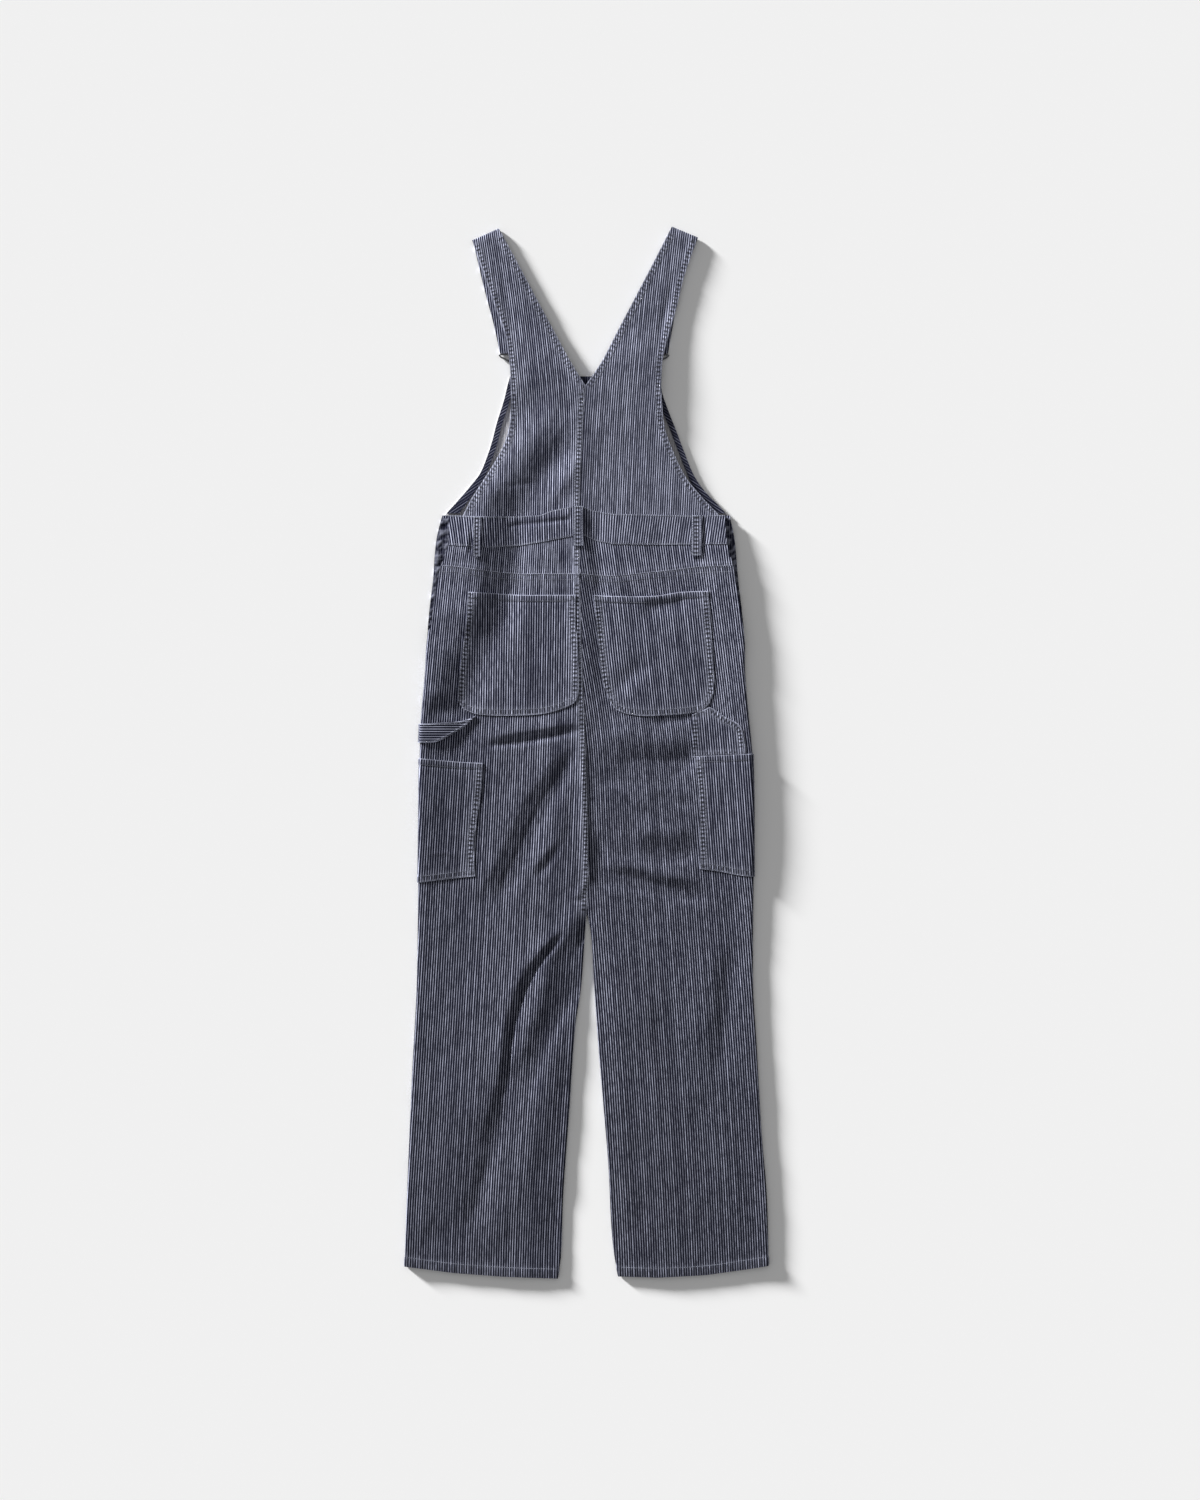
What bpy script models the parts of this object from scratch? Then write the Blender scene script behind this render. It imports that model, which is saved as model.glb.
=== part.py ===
"""Bib overalls laid flat on their front, so that the back is up.

Tables are in millimetres: across is measured from the middle of the garment to the right as it is
seen from above, and up is measured from the hem towards the straps. +X is across, +Y is up the
garment and +Z is out of its back. Every piece of cloth is a sheet of places, each with the way
into the cloth from its outer face, and a wall is made by moving the sheet that way.
"""

import math

import bmesh
import bpy
from mathutils import Vector

MM = 0.001

# Driving sizes
LENGTH = 1453.0
WALL = 1.5
BODICE_WALL = 2.0
BAND_WALL = 2.6
POCKET_WALL = 1.4
LOOP_WALL = 2.4
SEAM = 0.3
CLEAR = 0.3

# The folded side of a leg: how far in it rounds over, where its two halves meet, and its fullness
FOLD_REACH = 8.0
FOLD_MIDDLE = 3.2
FOLD_POWER = 2.6
FOLD_SWELL = 1.2
FOLD_SWELL_REACH = 22.0
LOWEST_BACK = 3.9
# The hips stand fuller at their outer sides: height, reach, and where it starts and ends going up
HIP_SWELL = 3.6
HIP_SWELL_REACH = 42.0
HIP_SWELL_LOW = (500.0, 640.0)
HIP_SWELL_HIGH = (1000.0, 1056.0)

CROTCH = 506.0
CROTCH_OPENS = 50.0
SIDE_CLOSES = (850.0, 900.0)
LEG_STEP = 36.0
LEG_STEPS_DOWN = 13
LEG_STEPS_UP = 12
EDGE_STEPS = (0.0, 0.3, 3.0, 8.0, 24.0)
PLAIN_STEPS = (0.0, 24.0)
MIDDLE_STEPS = 7
BAND_RISE = 0.8

# Outlines: up, across
LEFT_SIDE = (
    (0, -252), (116, -248), (281, -241), (409, -234.5), (592, -232), (758, -229.5), (840, -223),
    (880, -220.5),
)
RIGHT_SIDE = (
    (0, 252), (116, 249), (199, 242), (323, 235), (409, 230), (592, 231), (716, 229.5), (799, 222),
    (840, 219), (880, 218.5),
)
LEFT_FRONT_HIP = ((923, -217), (965, -212), (1006, -209), (1027, -206), (1058, -198))
RIGHT_FRONT_HIP = ((923, 214.5), (965, 209.5), (1006, 206), (1027, 203.5), (1058, 196.5))
LEFT_BACK_HIP = ((912, -213), (962, -206), (984, -200.5), (1012, -191), (1058, -189.5))
RIGHT_BACK_HIP = ((916, 213), (953, 207), (984, 202), (1014, 194), (1058, 190.5))
CENTRE = (
    (506, 0), (560, 3), (654, 2), (758, -2), (860, -6), (973, -9), (1058, -9), (1120, -7),
    (1190, -4), (1233, -1.5),
)
LEFT_INSEAM = (
    (0, -40), (33, -35), (116, -32), (240, -23), (343, -16), (402, -7.5), (462, -3), (506, 0),
)
RIGHT_INSEAM = (
    (0, 44.5), (33, 38), (74, 34), (157, 30), (240, 23), (323, 16), (403, 10.5), (477, 6), (506, 0),
)
LEFT_BIB = (
    (1054, -196), (1075, -177), (1093, -161.5), (1112, -147), (1136, -137), (1156, -130.5),
    (1183, -123.5), (1213, -114), (1232, -109.5), (1247, -105.5),
)
RIGHT_BIB = (
    (1054, 195), (1069, 181), (1087, 163.5), (1109, 148.5), (1143, 134.5), (1172, 123.5),
    (1200, 112.5), (1224, 104.5), (1247, 102.5),
)

# Seams and hems: across, up
LEFT_HEM = ((-252, 17), (-184, 8), (-118, 3), (-40, 0))
RIGHT_HEM = ((43, 3), (100, 1.5), (165, 5), (222, 13), (252, 18))
YOKE_SEAM = (
    (-210, 985), (-178, 982.5), (-151, 978.5), (-119, 974.5), (-92, 973), (-9, 973), (10, 971),
    (43, 970), (80, 974), (118, 978), (155, 982.5), (210, 985),
)
BAND_BOTTOM = (
    (-200, 1013), (-136, 1009), (-92, 1012), (-67, 1016), (-20, 1025), (-4, 1026), (12, 1019),
    (36, 1014), (80, 1013), (200, 1014),
)
BAND_TOP = (
    (-200, 1054), (-136, 1052), (-88, 1053), (-64, 1054), (-50, 1060), (-20, 1066), (-2, 1065),
    (12, 1060), (36, 1056), (132, 1054), (200, 1054),
)
FRONT_BAND_BOTTOM = 1013.0
FRONT_BAND_TOP = 1054.0
BIB_TOP = 1246.0

# Height of the back's outer face above the floor: up, height
BACK_HEIGHT = (
    (0, 6), (506, 6.5), (800, 7), (900, 8), (1000, 8.6), (1060, 8.6), (1150, 8.4), (1228, 10.4),
    (1268, 10.4), (1320, 8.4), (1460, 8),
)

# Largest folds: height (a trough is below 0), half width to the left and to the right of the line,
# and the line's places (across, up), drawn downwards or from left to right
FOLDS = (
    (3.6, 12, 55, ((-48, 495), (-80, 470), (-104, 435), (-120, 396), (-130, 302), (-150, 190))),
    (-2.6, 12, 22, ((-2, 440), (-32, 371), (-54, 330), (-72, 281), (-92, 233))),
    (2.6, 16, 26, ((-14, 350), (-37, 247), (-60, 178), (-119, 68), (-140, 30))),
    (-2.0, 18, 14, ((-8, 420), (-16, 330), (-25, 220), (-33, 110), (-40, 10))),
    (-2.6, 14, 10, ((-24, 738), (-49, 697), (-79, 661), (-97, 620), (-118, 567), (-146, 516))),
    (2.0, 10, 26, ((-44, 735), (-66, 700), (-97, 664), (-115, 622), (-137, 570), (-164, 523))),
    (4.0, 26, 50, ((-50, 1200), (-75, 1178), (-100, 1144), (-128, 1095), (-138, 1000), (-158, 923),
                   (-183, 868), (-212, 799))),
    (-2.6, 18, 22, ((-20, 1190), (-52, 1144), (-78, 1092), (-96, 990), (-114, 923), (-147, 868),
                    (-176, 799))),
    (2.0, 22, 24, ((-5, 1213), (-8, 1158), (-15, 1110), (-19, 1061), (-14, 1027))),
    (1.4, 12, 13, ((-14, 1050), (-9, 937), (-8, 854), (-6, 744), (-5, 633), (-2, 545))),
    (-1.6, 14, 12, ((14, 1062), (19, 1020), (19, 937), (21, 868), (23, 799))),
    (-2.6, 10, 14, ((74, 928), (112, 932), (148, 938))),
    (2.6, 16, 22, ((12, 756), (80, 756), (155, 748))),
    (-2.6, 30, 14, ((16, 700), (74, 694), (129, 690), (152, 690))),
    (-3.4, 14, 12, ((30, 580), (74, 566), (112, 556), (162, 540))),
)

FOLD_TAPER = 45.0

# Half of the back bodice and its strap, from the waist to the top of the strap:
# outer edge across and up, inner edge across and up
LEFT_BODICE = (
    (-159, 1076, -8.5, 1088),
    (-136, 1112, -7.2, 1121),
    (-117, 1145, -5.3, 1155),
    (-107, 1175, -4, 1190),
    (-104, 1213, -1.5, 1233),
    (-106, 1262, -22, 1266),
    (-112.5, 1305, -43.5, 1306),
    (-125, 1340, -65.5, 1347),
    (-140, 1383, -90, 1393),
    (-155, 1425, -115, 1439.5),
)
RIGHT_BODICE = (
    (161, 1077, -8.5, 1088),
    (136, 1108, -7.2, 1121),
    (115.5, 1152, -5.3, 1155),
    (107, 1181, -4, 1190),
    (103, 1224, -1.5, 1233),
    (105, 1268, 20.8, 1266),
    (114, 1306, 41.5, 1306),
    (124.5, 1341, 63, 1347),
    (135, 1384, 87, 1393),
    (150.5, 1429, 113, 1443.5),
)
# The strap's end, turned under at the top and laid on the floor, in the same columns
LEFT_STRAP_END = (
    (-155, 1425, -116, 1440),
    (-141.5, 1368, -100, 1378),
    (-129, 1321, -87, 1324),
    (-119.5, 1278, -78, 1278),
)
RIGHT_STRAP_END = (
    (150.5, 1428, 113, 1443),
    (132, 1381, 91, 1387),
    (121.5, 1328, 80, 1331),
    (112.5, 1278, 71, 1278),
)
STRAP_TOP = {"left": (-158, 1434, -121, 1450.5), "right": (154, 1438, 118, LENGTH)}
BODICE_WAIST = {"left": -170.5, "right": 183.0}
TURN_STEPS = 4

# Pocket outlines: across, up. Those that wrap a side run past it
BACK_POCKET_LEFT = (
    (-163.5, 948), (-14.5, 944), (-15.5, 916), (-11.7, 864), (-11.7, 804.5), (-17, 795), (-31, 788),
    (-60, 780), (-110, 777.5), (-151, 779.5), (-169, 786), (-177.3, 798), (-176, 829), (-165.5, 913),
)
BACK_POCKET_RIGHT = (
    (10.4, 944), (10.6, 934), (16, 878), (21.4, 828), (32.4, 796), (41, 786), (56, 780), (85, 777),
    (144, 781), (160, 785.5), (169, 793.5), (175.8, 814), (173, 878), (168, 949.5), (130, 948),
    (92, 942.5), (32, 942.5),
)
SIDE_POCKET_LEFT = (
    (-260, 718.5), (-180, 714), (-143, 712), (-145.5, 672), (-151, 636), (-155.3, 602), (-154, 556),
    (-260, 547),
)
SIDE_POCKET_RIGHT = (
    (146.3, 721.5), (149.5, 716), (155.3, 672), (156.6, 602), (157, 566), (187, 561.7), (208, 557.5),
    (260, 555), (260, 725),
)
TOOL_POCKET = (
    (146, 779), (146.4, 722.2), (219, 724.6), (218, 738), (212, 763), (170, 789), (163, 785.5),
)
HAMMER_LOOP = (
    (-260, 766), (-180, 769), (-162, 773), (-154, 777), (-154, 775.5), (-169, 762), (-187, 751),
    (-208, 741), (-260, 740),
)
CUTTER_HEIGHT = 60.0

# Belt loops: name, middle across, width, low end, high end, lean to the right over its length
BELT_LOOPS = (
    ("belt_loop_left", -151, 11, 996.5, 1051.5, 1.0),
    ("belt_loop_centre", -11.5, 14, 1011.5, 1066.5, 0.0),
    ("belt_loop_right", 151.5, 15, 998, 1054, 1.5),
)
BELT_LOOP_ARCH = 1.6

# Side openings: the strip of the front's side that shows beside the back
PLACKET_LOW = 897.0
PLACKET_HIGH = 1050.0
PLACKET_WIDTH = 24.0
PLACKET_WALL = 2.4
PLACKET_RIPPLE = 0.35
PLACKET_RIPPLES = 7
PLACKET_RISES = 980.0
PLACKET_RISE_OVER = 20.0

# Turned edges of the bib: up, width
FACING_WIDTH = ((1058, 17), (1075, 14), (1093, 11.5), (1112, 8), (1240, 8))
FACING_WALL = 1.4
TOP_FACING = 12.0

# Strap hardware
WIRE = 2.4
LOOP_TOP = 1276.4
LOOP_HALF = 22.0
BUTTON_UP = 1239.5
BUTTON_TOP = 7.5
BUTTON_CAP = 8.0
BUTTON_SHANK = 2.6
# Side, middle of the strap's end, button's place across
HARDWARE = (("left", -98.8, -87.0), ("right", 91.8, 82.0))
# The wire's half, down from the strap: share of the half width, up, height above the floor
LOOP_WIRE = (
    (0.45, 1276.4, 1.6),
    (0.9, 1276.4, 1.6),
    (1.0, 1275.0, 1.7),
    (0.94, 1272.8, 1.9),
    (0.62, 1268.5, 2.6),
    (0.3, 1263.0, 3.6),
    (0.2, 1256.0, 4.6),
    (0.22, 1247.0, 4.8),
    (0.24, 1240.0, 4.8),
    (0.13, 1234.8, 4.8),
)

DENIM = (0.050, 0.055, 0.085)
DENIM_LIGHT = (0.085, 0.090, 0.130)
DENIM_WRONG = (0.36, 0.38, 0.45)
STEEL = (0.45, 0.45, 0.46)


def straight(rows, place):
    """The value at a place on straight lines through rows of (place, value)."""
    place = min(max(place, rows[0][0]), rows[-1][0])
    for (low, first), (high, last) in zip(rows, rows[1:]):
        if place <= high:
            return first + (last - first) * (place - low) / (high - low)
    return rows[-1][1]


def smooth(rows, place):
    """The value at a place on a smooth curve through rows of (place, value)."""
    place = min(max(place, rows[0][0]), rows[-1][0])
    last = len(rows) - 1
    k = next(i for i in range(last) if place <= rows[i + 1][0])
    slopes = []
    for i in (k, k + 1):
        before, after = rows[max(i - 1, 0)], rows[min(i + 1, last)]
        slopes.append((after[1] - before[1]) / (after[0] - before[0]))
    step = rows[k + 1][0] - rows[k][0]
    t = (place - rows[k][0]) / step
    return (
        (2 * t**3 - 3 * t**2 + 1) * rows[k][1]
        + (t**3 - 2 * t**2 + t) * step * slopes[0]
        + (3 * t**2 - 2 * t**3) * rows[k + 1][1]
        + (t**3 - t**2) * step * slopes[1]
    )


def ease(share):
    """0 to 1, with a soft start and end."""
    share = min(max(share, 0.0), 1.0)
    return share * share * (3 - 2 * share)


def fold_share(across, up, left, right, line):
    """How much of a fold's height a place has, from 0 to 1: left and right are its half widths."""
    best, along, total, half = 1e9, 0.0, 0.0, left
    place = Vector((across, up))
    for first, last in zip(line, line[1:]):
        first, last = Vector(first), Vector(last)
        run = last - first
        share = min(max((place - first).dot(run) / run.length_squared, 0.0), 1.0)
        aside = place - first - run * share
        if aside.length < best:
            best, along = aside.length, total + share * run.length
            half = left if run.cross(aside) > 0 else right
        total += run.length
    taper = min(FOLD_TAPER, 0.35 * total)
    strength = ease(along / taper) * ease((total - along) / taper)
    return strength * math.exp(-((best / half) ** 2))


def ramp(limits, place):
    """0 before the first limit and 1 after the second."""
    return ease((place - limits[0]) / (limits[1] - limits[0]))


def hip_swell(across, up):
    """The hips' fullness at a place: greatest at the outer sides."""
    left, right = smooth(LEFT_SIDE + LEFT_BACK_HIP, up), smooth(RIGHT_SIDE + RIGHT_BACK_HIP, up)
    near = max(min(across - left, right - across), 0.0)
    share = ramp(HIP_SWELL_LOW, up) * (1 - ramp(HIP_SWELL_HIGH, up))
    return HIP_SWELL * share * math.exp(-((near / HIP_SWELL_REACH) ** 2))


def back_height(across, up):
    """Height of the back's outer face, with its folds and without its rounded sides."""
    height = smooth(BACK_HEIGHT, up) + hip_swell(across, up)
    for rise, left, right, line in FOLDS:
        height += rise * fold_share(across, up, left, right, line)
    return max(height, LOWEST_BACK)


def round_over(distance):
    """0 at a folded side and 1 where the cloth is level."""
    inside = 1 - min(distance / FOLD_REACH, 1.0)
    return (1 - inside**FOLD_POWER) ** (1 / FOLD_POWER)


def place(across, up, height):
    return Vector((across, up - LENGTH / 2, height))


def row_places(rows, row, column, across_at):
    """Where a column meets a row, which is an up value or a seam's rows of (across, up)."""
    up = row if isinstance(row, (int, float)) else straight(rows, 0.0)
    for _ in range(8):
        across = across_at(up)[column]
        up = row if isinstance(row, (int, float)) else straight(rows, across)
    return across, up


def stations(low, high, near_low, near_high, middle):
    """Places from low to high: steps near each end, and even ones between them."""
    first, last = low + near_low[-1], high - near_high[-1]
    even = [first + (last - first) * i / (middle + 1) for i in range(1, middle + 1)]
    return [low + step for step in near_low] + even + [high - step for step in reversed(near_high)]


def side_fold(up):
    """How far the side is folded over: 1 down the leg, 0 beside the side opening."""
    return 1 - ease((up - SIDE_CLOSES[0]) / (SIDE_CLOSES[1] - SIDE_CLOSES[0]))


def inseam_fold(up):
    """How far the inner edge is folded over: 1 down the leg, 0 above the crotch."""
    return ease((CROTCH - up) / CROTCH_OPENS)


def shifted(rows, move):
    return tuple((first, last + move) for first, last in rows)


def leg_edges(side, hip):
    """The leg's two edges, as functions of up, from the lower across to the higher."""
    if side == "left":
        outer = LEFT_SIDE + hip
        return (
            lambda up: smooth(outer, up),
            lambda up: (smooth(CENTRE, up) if up >= CROTCH else smooth(LEFT_INSEAM, up)) - SEAM / 2,
        )
    outer = RIGHT_SIDE + hip
    return (
        lambda up: (smooth(CENTRE, up) if up >= CROTCH else smooth(RIGHT_INSEAM, up)) + SEAM / 2,
        lambda up: smooth(outer, up),
    )


def folded_point(across, up, low, high, side, is_back):
    """The outer face of a leg at a place, and the way in, with both edges rounded over."""
    from_low, from_high = across - low, high - across
    near = min(from_low, from_high)
    on_side = (from_low < from_high) == (side == "left")
    fold = side_fold(up) if on_side else inseam_fold(up)
    share = 1 - fold * (1 - round_over(near))
    angle = math.pi / 2 * (1 - fold * (1 - min(near / FOLD_REACH, 1.0) ** 0.3))
    toward = math.cos(angle) * (1 if from_low < from_high else -1)
    if is_back:
        level = back_height(across, up)
        level += FOLD_SWELL * fold * math.exp(-((near / FOLD_SWELL_REACH) ** 2))
        seat = FOLD_MIDDLE + SEAM / 2
        return place(across, up, seat + (level - seat) * share), Vector((toward, 0, -math.sin(angle)))
    seat = FOLD_MIDDLE - SEAM / 2
    return place(across, up, seat * (1 - share)), Vector((toward, 0, math.sin(angle)))


def leg_sheet(side, is_back):
    """Half of the seat and its leg, from the yoke or the front band down to the hem."""
    hip = {
        ("left", True): LEFT_BACK_HIP, ("right", True): RIGHT_BACK_HIP,
        ("left", False): LEFT_FRONT_HIP, ("right", False): RIGHT_FRONT_HIP,
    }[side, is_back]
    low, high = leg_edges(side, hip)
    hem = LEFT_HEM if side == "left" else RIGHT_HEM
    top = shifted(YOKE_SEAM, -SEAM / 2) if is_back else FRONT_BAND_BOTTOM - SEAM / 2
    middle = MIDDLE_STEPS if is_back else 1
    steps = EDGE_STEPS if is_back else EDGE_STEPS[:4]

    def across_at(up):
        return stations(low(up), high(up), steps, steps, middle)

    levels = [CROTCH + LEG_STEP * k for k in range(-LEG_STEPS_DOWN, LEG_STEPS_UP + 1)]
    if not is_back:
        levels.append(974.0)
    sheet = []
    for row in [hem] + levels + [top]:
        line = []
        for column in range(2 * len(steps) + middle):
            across, up = row_places(row, row, column, across_at)
            line.append(folded_point(across, up, low(up), high(up), side, is_back))
        sheet.append(line)
    return sheet


def half_stations(side, up):
    """The places across one half of the back where the yoke, band and bodice share their seams."""
    low, high = leg_edges(side, LEFT_BACK_HIP if side == "left" else RIGHT_BACK_HIP)
    return stations(low(up), high(up), PLAIN_STEPS, PLAIN_STEPS, MIDDLE_STEPS)


def flat_point(across, up, height):
    return place(across, up, height), Vector((0, 0, -1))


def yoke_sheet(side):
    low_seam = shifted(YOKE_SEAM, SEAM / 2)
    high_seam = shifted(BAND_BOTTOM, -SEAM / 2)
    sheet = [[], [], []]
    for column in range(MIDDLE_STEPS + 4):
        low = row_places(low_seam, low_seam, column, lambda up: half_stations(side, up))
        high = row_places(high_seam, high_seam, column, lambda up: half_stations(side, up))
        for line, share in zip(sheet, (0.0, 0.5, 1.0)):
            across = low[0] + (high[0] - low[0]) * share
            up = low[1] + (high[1] - low[1]) * share
            line.append(flat_point(across, up, back_height(across, up)))
    return sheet


def band_stations():
    """The back band's columns: those of both halves at its lower seam."""
    left = [
        row_places(BAND_BOTTOM, BAND_BOTTOM, i, lambda up: half_stations("left", up))[0]
        for i in range(MIDDLE_STEPS + 4)
    ]
    right = [
        row_places(BAND_BOTTOM, BAND_BOTTOM, i, lambda up: half_stations("right", up))[0]
        for i in range(MIDDLE_STEPS + 4)
    ]
    return left, right


def band_sheet():
    left, right = band_stations()
    columns = left[:-1] + [(left[-1] + right[0]) / 2] + right[1:]
    sheet = []
    for share in (0.0, 0.5, 1.0):
        line = []
        for across in columns:
            low = straight(BAND_BOTTOM, across) + SEAM / 2
            high = straight(BAND_TOP, across) - SEAM / 2
            up = low + (high - low) * share
            line.append(flat_point(across, up, back_height(across, up) + BAND_RISE))
        sheet.append(line)
    return sheet


def bodice_sheet(side):
    """Half of the back bodice, its strap, the turn at the top and the end laid under."""
    left, right = band_stations()
    if side == "left":
        columns = [BODICE_WAIST[side]] + left[2:-1] + [left[-1]]
        table, under = LEFT_BODICE, LEFT_STRAP_END
    else:
        columns = [BODICE_WAIST[side]] + right[-3:0:-1] + [right[0]]
        table, under = RIGHT_BODICE, RIGHT_STRAP_END
    reach = columns[-1] - columns[0]
    shares = [(across - columns[0]) / reach for across in columns]
    gap = -SEAM / 2 if side == "left" else SEAM / 2

    sheet = [[
        flat_point(across, straight(BAND_TOP, across) + SEAM / 2, back_height(across, BAND_TOP[0][1]))
        for across in columns
    ]]

    def spread(row, height_at, inward):
        line = []
        for share in shares:
            across = row[0] + (row[2] + gap - row[0]) * share
            up = row[1] + (row[3] - row[1]) * share
            line.append((place(across, up, height_at(across, up)), inward))
        return line

    between = []
    for first, last in zip(table, table[1:]):
        between += [first, tuple((a + b) / 2 for a, b in zip(first, last))]
    down = Vector((0, 0, -1))
    for row in between + [table[-1]]:
        sheet.append(spread(row, back_height, down))
    top = STRAP_TOP[side]
    edge = Vector((top[2] - top[0], top[3] - top[1], 0)).normalized()
    out = Vector((-edge.y, edge.x, 0)) if side == "left" else Vector((edge.y, -edge.x, 0))
    radius = back_height((top[0] + top[2]) / 2, top[1]) / 2
    for i in range(1, TURN_STEPS):
        turn = math.pi * i / TURN_STEPS
        move = (math.sin(turn) - 1) * radius
        inward = Vector((-out.x * math.sin(turn), -out.y * math.sin(turn), -math.cos(turn)))
        row = (top[0] + out.x * move, top[1] + out.y * move, top[2] + out.x * move, top[3] + out.y * move)
        sheet.append(spread(row, lambda across, up: radius * (1 + math.cos(turn)), inward))
    for row in under:
        sheet.append(spread(row, lambda across, up: 0.0, Vector((0, 0, 1))))
    return sheet


def level_sheet(low_edge, high_edge, rows, across_steps, height, inward):
    """A level sheet between two edges, which are functions of up, over rows of up."""
    return [
        [
            (place(low_edge(up) + (high_edge(up) - low_edge(up)) * i / across_steps, up, height), inward)
            for i in range(across_steps + 1)
        ]
        for up in rows
    ]


def even(low, high, steps):
    return [low + (high - low) * i / steps for i in range(steps + 1)]


def placket_sheet(side):
    """The strip beside the back's edge, with the crumples of a side that is buttoned."""
    edge = LEFT_SIDE + LEFT_FRONT_HIP if side == "left" else RIGHT_SIDE + RIGHT_FRONT_HIP
    sign = 1 if side == "left" else -1
    sheet = []
    for up in even(PLACKET_LOW, PLACKET_HIGH, 2 * PLACKET_RIPPLES):
        ripple = math.sin(math.pi * (up - PLACKET_LOW) / (PLACKET_HIGH - PLACKET_LOW) * PLACKET_RIPPLES)
        seat = WALL + CLEAR + (BAND_WALL - WALL) * ease((up - PLACKET_RISES) / PLACKET_RISE_OVER)
        line = []
        for i in range(4):
            inset = PLACKET_WIDTH * i / 3
            top = seat + PLACKET_WALL + PLACKET_RIPPLE * (1 + ripple) * (1 - i / 3)
            line.append(flat_point(smooth(edge, up) + sign * inset, up, top))
        sheet.append(line)
    return sheet


def belt_loop_sheet(middle, width, low, high, lean):
    """A strip over the band, fast at both ends and standing off between them."""
    sheet = []
    for up in even(low, high, 6):
        share = (up - low) / (high - low)
        centre = middle + lean * (share - 0.5)
        line = []
        for i in range(3):
            across = centre + width * (i / 2 - 0.5)
            ground = max(
                back_height(across + away, level) for away in (-6, 0, 6) for level in (up - 8, up, up + 8)
            )
            top = ground + BAND_RISE + 2 * CLEAR + LOOP_WALL
            top += BELT_LOOP_ARCH * math.sin(math.pi * share)
            line.append(flat_point(across, up, top))
        sheet.append(line)
    return sheet


def material(name, colour, roughness, metallic=0.0):
    made = bpy.data.materials.new(name)
    made.use_nodes = True
    shader = made.node_tree.nodes["Principled BSDF"]
    shader.inputs["Base Color"].default_value = (*colour, 1)
    shader.inputs["Roughness"].default_value = roughness
    shader.inputs["Metallic"].default_value = metallic
    return made


def add_object(name, data, collection, colour, roughness=0.85, metallic=0.0):
    made = bpy.data.objects.new(name, data)
    collection.objects.link(made)
    data.materials.append(material(name, colour, roughness, metallic))
    return made


def near_outline(face, outline, margin):
    """Whether a face reaches into an outline's box, with a margin."""
    for axis in (0, 1):
        low = min(p[axis] for p in outline) - margin
        high = max(p[axis] for p in outline) + margin
        values = [vert.co[axis] / MM + (LENGTH / 2 if axis else 0) for vert in face.verts]
        if max(values) < low or min(values) > high:
            return False
    return True


def cloth(name, sheet, wall, colour, lift=0.0, outline=None):
    """A wall of cloth on a sheet's places. With a lift it lies that far out of them."""
    down, wide = len(sheet), len(sheet[0])
    mesh = bmesh.new()
    bmesh.ops.create_grid(mesh, x_segments=wide - 1, y_segments=down - 1, size=0.5)
    spot = mesh.verts.layers.int.new("spot")
    lifted = lift + wall if lift else 0.0
    for vert in mesh.verts:
        column = round((vert.co.x + 0.5) * (wide - 1))
        row = round((vert.co.y + 0.5) * (down - 1))
        vert[spot] = row * wide + column
        point, inward = sheet[row][column]
        vert.co = (point - inward * lifted) * MM
    bmesh.ops.triangulate(mesh, faces=mesh.faces[:], quad_method="FIXED")
    if outline:
        far = [face for face in mesh.faces if not near_outline(face, outline, 2.0)]
        bmesh.ops.delete(mesh, geom=far, context="FACES")
    made = bmesh.ops.extrude_face_region(mesh, geom=mesh.faces[:])
    for vert in made["geom"]:
        if isinstance(vert, bmesh.types.BMVert):
            inward = sheet[vert[spot] // wide][vert[spot] % wide][1]
            vert.co += inward * wall * MM
    bmesh.ops.recalc_face_normals(mesh, faces=mesh.faces[:])
    data = bpy.data.meshes.new(name)
    mesh.to_mesh(data)
    mesh.free()
    return add_object(name, data, PIECES, colour)


def cut_to(piece, outline):
    """Trim a piece to an outline of (across, up), seen from above."""
    mesh = bmesh.new()
    verts = [mesh.verts.new(place(*point, -CUTTER_HEIGHT) * MM) for point in outline]
    face = mesh.faces.new(verts)
    made = bmesh.ops.extrude_face_region(mesh, geom=[face])
    moved = [vert for vert in made["geom"] if isinstance(vert, bmesh.types.BMVert)]
    bmesh.ops.translate(mesh, vec=(0, 0, 2 * CUTTER_HEIGHT * MM), verts=moved)
    bmesh.ops.recalc_face_normals(mesh, faces=mesh.faces[:])
    data = bpy.data.meshes.new(piece.name + "_outline")
    mesh.to_mesh(data)
    mesh.free()
    cutter = bpy.data.objects.new(data.name, data)
    CUTTERS.objects.link(cutter)
    cutter.hide_render = True
    cutter.display_type = "WIRE"
    cut = piece.modifiers.new("outline", "BOOLEAN")
    cut.operation = "INTERSECT"
    cut.solver = "EXACT"
    cut.object = cutter


def pocket(name, sheet, outline, wall=POCKET_WALL, colour=DENIM_LIGHT):
    piece = cloth(name, sheet, wall, colour, lift=CLEAR, outline=outline)
    cut_to(piece, outline)


def strap_loop(side, middle, button):
    """The bent wire that the strap's end holds, narrowing to a slot round the bib button."""
    lean = button - middle
    half = []
    for share, up, height in LOOP_WIRE:
        centre = middle + lean * (LOOP_TOP - up) / (LOOP_TOP - BUTTON_UP)
        half.append((centre, share * LOOP_HALF, up, height))
    points = [place(c - s, up, h) for c, s, up, h in half]
    points += [place(c + s, up, h) for c, s, up, h in reversed(half)]
    curve = bpy.data.curves.new(f"strap_loop_{side}", "CURVE")
    curve.dimensions = "3D"
    curve.bevel_depth = WIRE / 2 * MM
    curve.bevel_resolution = 1
    line = curve.splines.new("POLY")
    line.points.add(len(points) - 1)
    for point, value in zip(line.points, points):
        point.co = (*(value * MM), 1)
    line.use_cyclic_u = True
    add_object(f"strap_loop_{side}", curve, PIECES, STEEL, roughness=0.35, metallic=1.0)


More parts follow.
